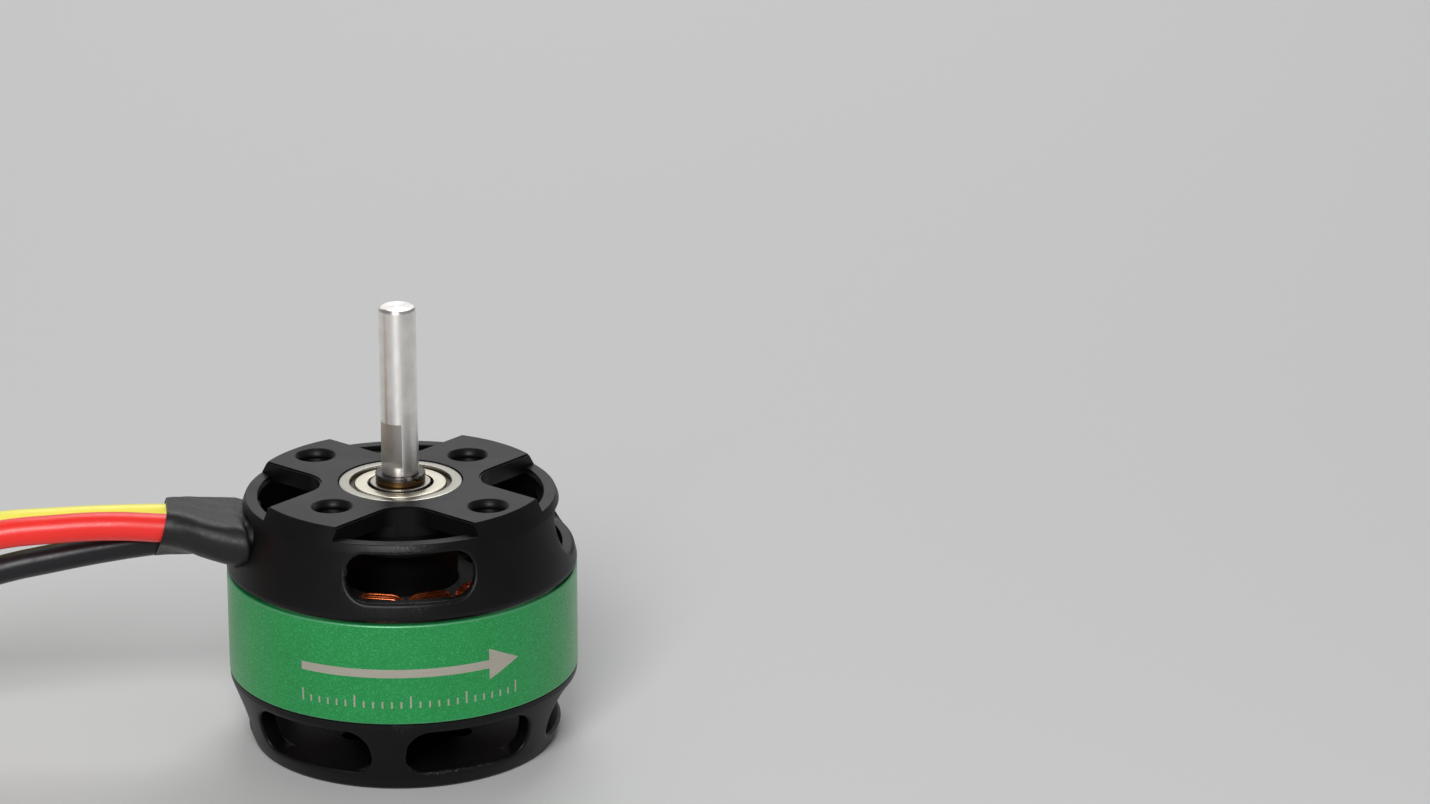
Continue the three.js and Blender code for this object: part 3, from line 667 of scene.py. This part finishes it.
def make_lead(colour, route):
    data = bpy.data.curves.new(f"{colour}_wire", "CURVE")
    data.dimensions = "3D"
    data.resolution_u = 14
    data.bevel_depth = LEAD_RADIUS * MM
    data.bevel_resolution = 8
    data.use_fill_caps = True
    spline = data.splines.new("BEZIER")
    spline.bezier_points.add(len(route) - 1)
    for point, place in zip(spline.bezier_points, route):
        point.co = Vector(place) * MM
        point.handle_left_type = "AUTO"
        point.handle_right_type = "AUTO"
    wire = bpy.data.objects.new(f"{colour}_wire", data)
    bpy.context.scene.collection.objects.link(wire)
    data.materials.append(looks[f"silicone_{colour}"])
    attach(wire, "stator")
    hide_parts(f"lead_{colour}")
    return wire


def lay_along_lead(shape, x, y, z):
    """Lays a piece made along +Z down along -X, starting at a point."""
    turned(shape, -90, "Y")
    return moved(shape, x, y, z)


def make_plug(colour, route):
    """The bullet plug and its heat-shrink collar."""
    _, y, z = route[-1]
    collar_low, collar_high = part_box(f"plug_collar_{colour}")
    start, end = collar_high.x / MM, collar_low.x / MM
    length = start - end
    r = COLLAR_RADIUS
    profile = [
        (LEAD_RADIUS + 0.02, 0), (LEAD_RADIUS + 0.22, 0, 0.1), (LEAD_RADIUS + 0.3, 0.6, 0.5),
        (r - 0.35, 1.6, 1.0), (r - 0.1, 3.2, 1.0), (r - 0.16, 5.0, 1.0), (r, 7.0, 1.0),
        (r - 0.06, 10.5, 1.0), (r - 0.12, length, 0.08), (1.6, length, 0), (1.6, 6.6, 0),
        (LEAD_RADIUS + 0.02, 5.0, 0),
    ]
    shape = lay_along_lead(lathe(soften(profile, 0.3, 4), SMALL), start, y, z)
    collar = piece(
        f"{colour}_collar", shape, "shrink_tube", "stator", "shrink_tube", f"plug_collar_{colour}"
    )

    plug_low, plug_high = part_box(f"bullet_plug_{colour}")
    start, end = plug_high.x / MM, plug_low.x / MM
    length = start - end
    profile = [
        (0, 0), (1.35, 0), (1.35, 5.0), (1.75, 5.0), (1.75, 6.4), (1.28, 6.6, 0.15),
        (1.28, 7.1, 0.15), (1.42, 7.5, 0.6), (1.74, 9.4, 1.4), (1.42, 11.3, 0.6),
        (1.28, 11.6, 0.2), (1.3, 12.3, 0.3), (0.55, length, 0.3), (0, length),
    ]
    pin = lathe(soften(profile, 0.12, 4), SMALL)
    slits = []
    for angle in (0, 90):
        slit = prism([(-0.12, -3), (0.12, -3), (0.12, 3), (-0.12, 3)], 7.4, 11.4)
        slits.append(turned(slit, angle + 20))
    bore = lathe([(0, 7.3), (0.8, 7.3), (0.8, 11.5), (0, 11.5)], SMALL)
    pin = carve(pin, [*slits, bore])
    plug = piece(
        f"{colour}_bullet", lay_along_lead(pin, start, y, z), "gold_plate", "stator", "gold_plate",
        f"bullet_plug_{colour}",
    )
    return [collar, plug]


# Sections of the shrink sleeve: x, how far the section bends round the skirt, how far its top
# leans towards the base, the places (y, z) that it wraps, and its radius round them.
SLEEVE_SECTIONS = [
    (-11.3, 0.0, 0.0, [(-3.0, 18.25), (1.7, 18.25)], 1.5),
    (-12.5, 0.0, 0.0, [(-3.1, 18.25), (1.7, 18.25)], 1.55),
    (-13.05, 0.8, 0.0, [(-3.5, 18.25), (1.75, 18.25)], 1.6),
    (-13.5, 1.0, 0.0, [(-4.05, 18.25), (1.8, 18.25)], 1.7),
    (-13.9, 1.0, 0.0, [(-4.15, 18.25), (1.8, 18.25)], 1.75),
    (-14.6, 0.7, 0.0, [(-4.0, 18.32), (1.75, 18.35), (-1.3, 18.2)], 1.72),
    (-16.0, 0.25, 0.0, [(-3.55, 18.72), (1.6, 18.55), (-1.1, 18.25)], 1.65),
    (-17.2, 0.0, 0.15, [(-3.1, 19.05), (1.45, 18.75), (-0.9, 18.05)], 1.58),
    (-18.4, 0.0, 0.35, [(-2.85, 19.3), (1.3, 18.88), (-0.8, 17.9)], 1.5),
    (-19.3, 0.0, 0.5, [(-2.75, 19.35), (1.25, 18.9), (-0.8, 17.85)], 1.48),
]
SLEEVE_WALL = 0.3
SLEEVE_STEPS = 120
SLEEVE_MIDDLE = (-1.0, 18.4)
LEAN_FROM = 18.5
LEAN_OVER = 1.9


def wrapped_outline(places, radius, count):
    """Evenly spaced points of the outline that wraps circles round some places, from the front."""
    corners = []
    for k in range(4 * count):
        a = math.pi + 2 * math.pi * k / (4 * count)
        way = Vector((math.cos(a), math.sin(a)))
        furthest = max((Vector(p) for p in places), key=way.dot)
        corners.append(furthest + way * radius)
    corners.append(corners[0])
    lengths = [0.0]
    for before, after in zip(corners, corners[1:]):
        lengths.append(lengths[-1] + (after - before).length)
    points = []
    at = 0
    for k in range(count):
        goal = lengths[-1] * k / count
        while lengths[at + 1] < goal:
            at += 1
        share = (goal - lengths[at]) / (lengths[at + 1] - lengths[at])
        points.append(corners[at].lerp(corners[at + 1], share))
    return points


def smooth_between(before, start, end, after, t):
    """A point of the smooth curve through four points, between the middle two."""
    bend = before * -1 + start * 3 - end * 3 + after
    swing = before * 2 - start * 5 + end * 4 - after
    return start + ((end - before) * t + swing * t * t + bend * t ** 3) / 2


def make_sleeve():
    """The heat-shrink tube that gathers the three leads at the base's window."""
    shape = bmesh.new()
    rings_between = 4

    def loops(shrink):
        made = []
        for x, wrap, lean, places, radius in SLEEVE_SECTIONS:
            ring = []
            for y, z in wrapped_outline(places, radius - shrink, SLEEVE_STEPS):
                round_skirt = -math.sqrt(x * x - y * y)
                at_x = x * (1 - wrap) + round_skirt * wrap + lean * (z - LEAN_FROM) / LEAN_OVER
                ring.append(Vector((at_x, y, z)))
            made.append(ring)
        fine = []
        for i in range(len(made) - 1):
            before, after = made[max(i - 1, 0)], made[min(i + 2, len(made) - 1)]
            for step in range(rings_between):
                t = step / rings_between
                fine.append([
                    smooth_between(before[k], made[i][k], made[i + 1][k], after[k], t)
                    for k in range(SLEEVE_STEPS)
                ])
        fine.append(made[-1])
        return fine

    outside = loops(0)
    for ring in outside:
        for point in ring:
            crease = noise.noise(Vector((point.x * 0.5, point.y * 0.9, point.z * 0.9)))
            lump = noise.noise(Vector((point.x * 1.7, point.y * 1.7 + 7, point.z * 1.7)))
            centre = Vector((point.x, *SLEEVE_MIDDLE))
            point += (point - centre).normalized() * (0.07 * crease + 0.035 * lump)
    inside = list(reversed(loops(SLEEVE_WALL)))
    rings = [[shape.verts.new(point) for point in ring] for ring in outside + inside]
    for first, second in zip(rings, rings[1:] + rings[:1]):
        for k in range(SLEEVE_STEPS):
            after = (k + 1) % SLEEVE_STEPS
            shape.faces.new([first[k], first[after], second[after], second[k]])
    return piece("shrink_sleeve", shape, "shrink_tube", "stator", "shrink_tube", "lead_sleeve")


def make_cords():
    sleeve = make_sleeve()
    for colour, route in LEAD_ROUTES.items():
        wire = make_lead(colour, route)
        on_it = make_plug(colour, route)
        if colour == "red":
            on_it.append(sleeve)


# ---------------------------------------------------------------- mounting base

ARM_HALF_WIDTH = 3.75
NOTCH_FILLET = 2.8
NOTCH_REACH = 15.5
RIM_TOP = 20.8
EDGE = 0.13
SCREW_HOLES = [(45, 8.0), (135, 9.5), (225, 8.0), (315, 9.5)]
BASE_WINDOW = (10.1, 3.6, 1.6)
WINDOW_ROUNDING = 0.32
BASE_WINDOW_TURN = 1.2
BASE_WINDOW_BOTTOM = 16.4


def notch_outline(reach):
    """The V between two arms, opening along +X, out to this distance from the axis."""
    tip = ARM_HALF_WIDTH * math.sqrt(2)
    centre = tip + NOTCH_FILLET * math.sqrt(2)
    outer = (tip + math.sqrt(2 * reach ** 2 - tip ** 2)) / 2
    rise = math.degrees(math.atan2(outer - tip, outer))
    return arc((centre, 0), NOTCH_FILLET, 225, 135, 20) + arc((0, 0), reach, rise, -rise, 24)


def screw_hole(face, angle, radius):
    """A countersunk hole with the crests of an M3 thread."""
    profile = [(0, face - 3), (1.36, face - 3)]
    turns, pitch = 5, 0.5
    for i in range(turns):
        low = face - 2.9 + pitch * i
        profile += [(1.42, low + 0.05), (1.42, low + 0.12), (1.27, low + 0.25), (1.27, low + 0.32)]
    profile += [(1.36, face - 0.32), (1.6, face - 0.1), (1.66, face - 0.04), (1.76, face)]
    profile += [(1.76, face + 1), (0, face + 1)]
    hole = moved(lathe(profile, SMALL), radius, 0, 0)
    return turned(hole, angle)


def make_base():
    low, face = levels("mount_base")
    seat_low, _ = levels("front_bearing_outer_ring")
    _, rear_top = levels("rear_bearing_outer_ring")
    gap = 0.04
    skirt = [(14.15, 15.35), (13.9, 16.4), (13.36, 18.25), (12.8, 20.1), (12.5, RIM_TOP)]
    ring = [
        (11.5, 20.3), (11.9, 20.1), (13.0, 16.4), (13.25, 15.05), (14.15, 15.05, 0.06),
        (14.15, 15.35, 0.15), (13.9, 16.4, 0.3), (13.36, 18.25), (12.8, 20.1, 0.4),
        (12.5, RIM_TOP, 0.14), (11.5, RIM_TOP, 0.1),
    ]
    sunk = 0.01
    arms = [
        (2.2, rear_top + gap), (3.5 + gap, rear_top + gap), (3.5 + gap, low), (4.5, low),
        (4.5, 17.3), (5.9, 17.3), (5.9, 19.3), (6.6, 19.3), (6.6, 20.3 + sunk), (12.3, 20.3 + sunk),
        (12.67 - sunk, 20.4), (12.5 - sunk, RIM_TOP), (11.9, face, 0.12), (5.0 + gap, face, 0.05),
        (5.0 + gap, seat_low - gap), (2.2, seat_low - gap),
    ]
    notches = []
    outline = notch_outline(NOTCH_REACH)
    for angle in (0, 90, 180, 270):
        notches.append(turned(prism(outline, 18.3, face + 1), angle))
        notches.append(top_tool(outline, face, EDGE, angle))
    spider = carve(lathe(soften(arms, 0), ROUND), notches)

    window = rounded_rectangle(*BASE_WINDOW)
    window_middle = BASE_WINDOW_BOTTOM + BASE_WINDOW[1] / 2
    cutters = []
    for angle in (0, 90, 180, 270):
        facing = angle + BASE_WINDOW_TURN
        cutters.append(outward(prism(window, 0, 5), 10.4, window_middle, facing))
        cutters.append(window_tool(window, window_middle, skirt, WINDOW_ROUNDING, facing))
    for angle, radius in SCREW_HOLES:
        cutters.append(screw_hole(face, angle, radius))
    shape = carve(lathe(soften(ring, 0), ROUND), cutters, [spider])
    piece("base_casting", shape, "black_anodised", "stator", "black_anodised", "mount_base")


# ---------------------------------------------------------------- end bell

BELL_WINDOW = (10.6, 3.8, 1.6)
BELL_WINDOWS = 6
BELL_HOLE_CIRCLE = 6.0
BELL_WINDOW_TURN = -67.7
BELL_WINDOW_BOTTOM = 1.55
GRUB_ANGLES = (-67.7, 52.3)
GRUB_HEIGHT = 3.3
GRUB_RADIUS = 1.2


def make_bell():
    _, top = levels("end_bell")
    shoulder = levels("flux_ring")[0] - 0.05
    profile = [
        (SHAFT_HOLE, 0), (12.1, 0, 0.1), (12.3, 0.2, 0.2), (12.62, 1.0, 1.0), (13.25, 3.0, 2.0),
        (13.85, 5.0, 2.0), (14.1, 5.85, 0.3), (14.1, shoulder), (12.95, shoulder), (12.95, top),
        (12.1, top), (12.1, 4.9), (11.2, 1.5, 0.6), (4.2, 1.5, 0.5), (4.2, 5.0),
        (SHAFT_HOLE, 5.0),
    ]
    wall = [(12.3, 0.2), (12.62, 1.0), (13.25, 3.0), (13.85, 5.0), (14.1, 5.85), (14.1, 6.3)]
    cutters = []
    window = rounded_rectangle(*BELL_WINDOW)
    middle = BELL_WINDOW_BOTTOM + BELL_WINDOW[1] / 2
    for i in range(BELL_WINDOWS):
        facing = BELL_WINDOW_TURN + 360 / BELL_WINDOWS * i
        cutters.append(outward(prism(window, 0, 6), 9.5, middle, facing))
        cutters.append(window_tool(window, middle, wall, WINDOW_ROUNDING, facing))
    for i in range(4):
        hole = lathe([(0, -1), (1.12, -1), (1.12, 0), (1, 0.12), (1, 3), (0, 3)], SMALL)
        moved(hole, BELL_HOLE_CIRCLE, 0, 0)
        cutters.append(turned(hole, 45 + 90 * i))
    for angle in GRUB_ANGLES:
        hole = lathe([(0, 0), (GRUB_RADIUS + 0.04, 0), (GRUB_RADIUS + 0.04, 5.5), (0, 5.5)], SMALL)
        cutters.append(outward(hole, 0, GRUB_HEIGHT, angle))
    shape = carve(lathe(soften(profile, 0), ROUND), cutters)
    piece("bell", shape, "black_anodised", "rotor", "black_anodised", "end_bell")


def make_grub_screws():
    for i, angle in enumerate(GRUB_ANGLES):
        profile = [(0, 1.56), (GRUB_RADIUS - 0.3, 1.56), (GRUB_RADIUS, 1.8)]
        for turn in range(5):
            low = 1.85 + 0.45 * turn
            profile += [(GRUB_RADIUS, low), (GRUB_RADIUS - 0.12, low + 0.2)]
        profile += [(GRUB_RADIUS, 4.0), (GRUB_RADIUS - 0.15, 4.15), (0, 4.15)]
        socket = prism(arc((0, 0), 0.65, 0, 300, 5), 3.05, 5)
        shape = carve(lathe(profile, SMALL), [socket])
        outward(shape, 0, GRUB_HEIGHT, angle)
        name = f"grub_screw_{i + 1}"
        piece(f"set_screw_{i + 1}", shape, "dark_steel", "rotor", "dark_steel", name)


# ---------------------------------------------------------------- flux ring and its marking

RING_RADIUS = 14.15
MARKING_PROUD = 0.006
MARKING_DEPTH = 0.08
MARKING_START = -9.0
ARROW_NECK = 6.6
ARROW_HEAD = 2.8
ARROW_HALF_HEIGHT = 1.3
TICKS = 25
TICK_SPACING = 0.75
TICK_WIDTH = 0.14


def curved_patch(outline):
    """A thin plate of (arc length, height) points bent round the ring. Each outline is convex."""
    shape = bmesh.new()
    outer = RING_RADIUS + MARKING_PROUD
    inner = outer - MARKING_DEPTH
    around = [(u / RING_RADIUS - math.pi / 2, z) for u, z in outline]
    loops = []
    for radius in (outer, inner):
        loops.append([
            shape.verts.new((radius * math.cos(a), radius * math.sin(a), z)) for a, z in around
        ])
    shape.faces.new(loops[0])
    shape.faces.new(list(reversed(loops[1])))
    for i in range(len(outline)):
        after = (i + 1) % len(outline)
        shape.faces.new([loops[0][i], loops[1][i], loops[1][after], loops[0][after]])
    return shape


def bar(start, end, low, high):
    """A strip on the ring, in short lengths that follow its curve."""
    parts = max(1, round((end - start) / 0.5))
    shapes = []
    for i in range(parts):
        a = start + (end - start) * i / parts
        b = start + (end - start) * (i + 1) / parts
        shapes.append(curved_patch([(a, low), (b, low), (b, high), (a, high)]))
    return shapes


def without_inner_walls(shape):
    """Welds plates that touch into one, and drops the walls between them."""
    bmesh.ops.remove_doubles(shape, verts=shape.verts, dist=MERGE_WITHIN)
    inner = [f for f in shape.faces if all(len(e.link_faces) > 2 for e in f.edges)]
    bmesh.ops.delete(shape, geom=inner, context="FACES")
    return shape


def make_ring():
    low, high = levels("flux_ring")
    profile = [
        (13.0, low), (RING_RADIUS, low, 0.18), (RING_RADIUS, high, 0.18), (13.0, high),
    ]
    shape = lathe(soften(profile, 0.05), ROUND)
    piece("green_can", shape, "green_ring", "rotor", "green_ring", "flux_ring")

    # A plain arrow for the way it turns, over a row of tick marks.
    middle = (low + high) / 2
    neck_low, neck_high = middle - 0.2, middle + 0.5
    shapes = bar(MARKING_START, ARROW_NECK, neck_low, neck_high)
    centre = middle + 0.15
    steps = 8
    for i in range(steps):
        a = ARROW_NECK + ARROW_HEAD * i / steps
        b = ARROW_NECK + ARROW_HEAD * (i + 1) / steps
        tall_a = ARROW_HALF_HEIGHT * (1 - i / steps)
        tall_b = ARROW_HALF_HEIGHT * (1 - (i + 1) / steps)
        tip = i == steps - 1
        front = [(b, centre)] if tip else [(b, centre - tall_b), (b, centre + tall_b)]
        neck = [(a, neck_high), (a, neck_low)] if i == 0 else []
        outline = [(a, centre - tall_a), *front, (a, centre + tall_a), *neck]
        shapes.append(curved_patch(outline))
    for i in range(TICKS):
        start = MARKING_START + TICK_SPACING * i
        height = 1.0 if i % 6 == 0 else 0.55
        shapes += bar(start, start + TICK_WIDTH, low + 1.4, low + 1.4 + height)
    piece("ring_marking", without_inner_walls(joined(shapes)), "marking", "rotor", "green_ring")


# ---------------------------------------------------------------- magnets, core and coils

def make_magnets():
    count = 14
    low, high = levels("magnet_01")
    outline = [(11.4, -2.3), (12.7, -2.3), (12.78, 0), (12.7, 2.3), (11.4, 2.3)]
    for i in range(count):
        shape = break_edges(prism(outline, low, high), 0.12)
        name = f"{i + 1:02d}"
        turned(shape, 360 / count * i)
        piece(f"pole_{name}", shape, "magnet", "rotor", "magnet", f"magnet_{name}")


TEETH = 12
FIRST_TOOTH = -75


SLOT_FLOOR = 6.3
TOOTH_HALF = 1.05
SHOE_HALF_ANGLE = 12.6
SHOE_INNER = 10.2
CORE_RADIUS = 11.0
CORE_BORE = 4.56


def make_core():
    low, high = levels("stator_core")
    outline = []
    root = math.degrees(math.asin(TOOTH_HALF / SLOT_FLOOR))
    for i in range(TEETH):
        middle = FIRST_TOOTH + 360 / TEETH * i
        turn = math.radians(middle)

        def at(x, y):
            return (
                x * math.cos(turn) - y * math.sin(turn),
                x * math.sin(turn) + y * math.cos(turn),
            )

        first, last = middle - SHOE_HALF_ANGLE, middle + SHOE_HALF_ANGLE
        outline += [at(6.2, -TOOTH_HALF), at(9.9, -TOOTH_HALF)]
        outline += arc((0, 0), SHOE_INNER, first, first, 1)[:1]
        outline += arc((0, 0), CORE_RADIUS, first, last, 8)
        outline += arc((0, 0), SHOE_INNER, last, last, 1)[:1]
        outline += [at(9.9, TOOTH_HALF), at(6.2, TOOTH_HALF)]
        gap_end = middle + 360 / TEETH - root
        outline += arc((0, 0), SLOT_FLOOR, middle + root + 2, gap_end - 2, 3)
    bore = lathe([(0, low - 1), (CORE_BORE, low - 1), (CORE_BORE, high + 1), (0, high + 1)], FINE)
    shape = break_edges(carve(prism(outline, low, high), [bore]), 0.05, 40, 1)
    piece("core_stack", shape, "core_steel", "stator", "core_steel", "stator_core")


WIRE_RADIUS = 0.2
# Each layer of a coil: first and last distance from the axis, half width and half height.
COIL_LAYERS = [
    (6.9, 9.75, 1.30, 3.26),
    (7.1, 9.75, 1.68, 3.68),
    (8.3, 9.75, 2.05, 4.08),
    (7.3, 8.2, 1.82, 4.08),
]


def coil_path(centre, rng):
    """Points of one continuous wire wound in layers about a tooth along +X."""
    points = []
    corner_steps = 4
    for first, last, wide, high in COIL_LAYERS:
        turns = max(2, round((last - first) / (2 * WIRE_RADIUS)))
        loop = rounded_rectangle(2 * wide, 2 * high, min(wide, 0.9), corner_steps)
        for turn in range(turns):
            push = rng.uniform(-0.03, 0.03)
            for k, (across, up) in enumerate(loop):
                share = (turn + k / len(loop)) / turns
                swell = 1 + 0.03 * math.sin(math.pi * share) + push * 0.4
                x = first + (last - first) * share + push
                points.append(Vector((x, across * swell, centre + up * swell)))
    return points


def tube(path, radius, sides=6):
    """A closed tube of a few sides along a path, kept upright by the path's own turning."""
    shape = bmesh.new()
    rings = []
    side = Vector((1, 0, 0))
    for i, point in enumerate(path):
        ahead = path[min(i + 1, len(path) - 1)] - path[max(i - 1, 0)]
        ahead.normalize()
        side = (side - ahead * side.dot(ahead)).normalized()
        other = ahead.cross(side)
        ring = []
        for k in range(sides):
            a = 2 * math.pi * k / sides
            ring.append(shape.verts.new(point + (side * math.cos(a) + other * math.sin(a)) * radius))
        rings.append(ring)
    for first, second in zip(rings, rings[1:]):
        for k in range(sides):
            after = (k + 1) % sides
            shape.faces.new([first[k], first[after], second[after], second[k]])
    shape.faces.new(list(reversed(rings[0])))
    shape.faces.new(rings[-1])
    return shape


def make_coils():
    low, high = levels("stator_core")
    for i in range(TEETH):
        rng = random.Random(i)
        shape = tube(coil_path((low + high) / 2, rng), WIRE_RADIUS)
        turned(shape, FIRST_TOOTH + 360 / TEETH * i)
        name = f"{i + 1:02d}"
        piece(f"winding_{name}", shape, "copper", "stator", "copper", f"coil_{name}")


# ---------------------------------------------------------------- bearings

BEARINGS = {
    "front": {"outer": 5.0, "outer_bore": 4.12, "inner": 2.42, "pitch": 3.25, "ball": 0.78, "balls": 7},
    "rear": {"outer": 3.5, "outer_bore": 3.02, "inner": 2.0, "pitch": 2.5, "ball": 0.45, "balls": 8},
}


def make_shield(name, size, outside, inward, node):
    """A pressed shield whose crimped edge lies a step deeper than its flat. inward is -1 under a top."""
    inner, bore = size["inner"] + 0.25, size["outer_bore"] - 0.04
    step = bore - 0.42
    flat = outside + inward * 0.12
    deep = outside + inward * 0.30
    thick = inward * 0.1
    profile = [
        (inner, flat), (step, flat, 0.08), (step + 0.07, deep, 0.05), (bore, deep),
        (bore, deep + thick), (step, deep + thick), (step - 0.08, flat + thick), (inner, flat + thick),
    ]
    piece(name, lathe(soften(profile, 0.03), FINE), "shield_steel", "stator", "bearing_steel", node)


def make_bearing(which, size):
    low, high = levels(f"{which}_bearing_outer_ring")
    edge = 0.18
    outer = [
        (size["outer_bore"], low), (size["outer"], low, edge), (size["outer"], high, edge),
        (size["outer_bore"], high, 0.06), (size["outer_bore"], high - 0.5),
    ]
    piece(
        f"{which}_outer_race", lathe(soften(outer, 0.06), FINE), "race_steel", "stator",
        "bearing_steel", f"{which}_bearing_outer_ring",
    )
    inner = [
        (SHAFT_HOLE, low, 0.12), (size["inner"], low, 0.06), (size["inner"], high, 0.06),
        (SHAFT_HOLE, high, 0.12),
    ]
    piece(
        f"{which}_inner_race", lathe(soften(inner, 0.06), FINE), "race_steel", "rotor",
        "bearing_steel", f"{which}_bearing_inner_ring",
    )
    make_shield(f"{which}_top_shield", size, high, -1, f"{which}_bearing_upper_shield")
    make_shield(f"{which}_bottom_shield", size, low, 1, f"{which}_bearing_lower_shield")

    middle = (low + high) / 2
    shapes = []
    for i in range(size["balls"]):
        ball = bmesh.new()
        bmesh.ops.create_icosphere(ball, subdivisions=3, radius=size["ball"])
        moved(ball, size["pitch"], 0, middle)
        shapes.append(turned(ball, 360 / size["balls"] * i))
    half, pitch = 0.17, size["pitch"]
    cage = [
        (pitch - half, middle - half), (pitch + half, middle - half),
        (pitch + half, middle + half), (pitch - half, middle + half),
    ]
    shapes.append(lathe(soften(cage, 0.05), FINE))
    piece(
        f"{which}_balls", joined(shapes), "ball_steel", f"{which}_balls", "bearing_steel",
        f"{which}_ball_set",
    )


# ---------------------------------------------------------------- shaft, clip and washers

FLAT_ANGLE = -134
CLIP_GAP_ANGLE = -62


def make_shaft():
    low, high = levels("shaft")
    groove_low, groove_high = levels("retaining_clip")
    play = 0.02
    profile = [
        (0, low), (1.5, low, 0.3), (1.5, groove_low - play, 0.03), (1.25, groove_low - play, 0.03),
        (1.25, groove_high + play, 0.03), (1.5, groove_high + play, 0.03), (1.5, high, 0.36),
        (0, high),
    ]
    flat_low, flat_high, depth = 23.3, 26.95, 0.5
    outline = rounded_rectangle(6, flat_high - flat_low, 0.12, 4)
    middle = (flat_low + flat_high) / 2
    flat = outward(prism(outline, 0, 2), 1.5 - depth, middle, FLAT_ANGLE)
    shape = carve(lathe(soften(profile, 0, 6), FINE), [flat])
    piece("motor_shaft", shape, "shaft_steel", "rotor", "shaft_steel", "shaft")


def make_clip():
    low, high = levels("retaining_clip")
    profile = [(1.29, low), (2.02, low), (2.02, high), (1.29, high)]
    gap = prism([(0, -0.5), (3, -0.5), (3, 0.5), (0, 0.5)], low - 1, high + 1)
    shape = carve(lathe(soften(profile, 0.05), FINE), [turned(gap, CLIP_GAP_ANGLE)])
    piece("snap_ring", shape, "dark_steel", "rotor", "dark_steel", "retaining_clip")


def make_washer(name, node):
    low, high = levels(node)
    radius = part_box(node)[1].x / MM
    profile = [(SHAFT_HOLE, low), (radius, low), (radius, high), (SHAFT_HOLE, high)]
    piece(name, lathe(soften(profile, 0.05), FINE), "brass_shim", "rotor", "brass_shim", node)


# ---------------------------------------------------------------- studio

FLOOR_HALF = 3000


def add_light(name, place, aim, size, power):
    data = bpy.data.lights.new(name, "AREA")
    data.shape = "RECTANGLE"
    data.size, data.size_y = (s * MM for s in size)
    data.energy = power
    light = bpy.data.objects.new(name, data)
    light.visible_camera = False
    bpy.context.scene.collection.objects.link(light)
    light.location = Vector(place) * MM
    direction = (Vector(aim) - Vector(place)).normalized()
    light.rotation_mode = "QUATERNION"
    light.rotation_quaternion = direction.to_track_quat("-Z", "Y")


def make_studio():
    shape = bmesh.new()
    bmesh.ops.create_grid(shape, x_segments=4, y_segments=4, size=FLOOR_HALF)
    mesh = bpy.data.meshes.new("floor")
    shape.to_mesh(mesh)
    shape.free()
    mesh.transform(Matrix.Scale(MM, 4))
    floor = bpy.data.objects.new("floor", mesh)
    bpy.context.scene.collection.objects.link(floor)
    floor.location.z = -0.02 * MM
    paint = Paint("floor", (0.62, 0.62, 0.62), 0.8, Specular_IOR_Level=0.1)
    mesh.materials.append(paint.material)

    world = bpy.data.worlds.new("world")
    bpy.context.scene.world = world
    world.use_nodes = True
    background = world.node_tree.nodes["Background"]
    background.inputs[0].default_value = (0.2, 0.2, 0.2, 1)
    add_light("key_soft", (-110, -480, 380), (0, 0, 15), (260, 260), 2.7)
    add_light("back_high", (60, 330, 480), (0, 0, 15), (300, 300), 1.2)
    add_light("back_low", (0, 520, 260), (0, 0, 20), (700, 300), 0.5)
    bpy.context.scene.view_settings.view_transform = "Standard"


make_camera()
looks = make_materials()
make_cords()
make_base()
make_bell()
make_grub_screws()
make_ring()
make_magnets()
make_core()
make_coils()
for which, size in BEARINGS.items():
    make_bearing(which, size)
make_shaft()
make_clip()
make_washer("shim", "shim_washer")
make_washer("spacer", "rear_spacer")
make_studio()
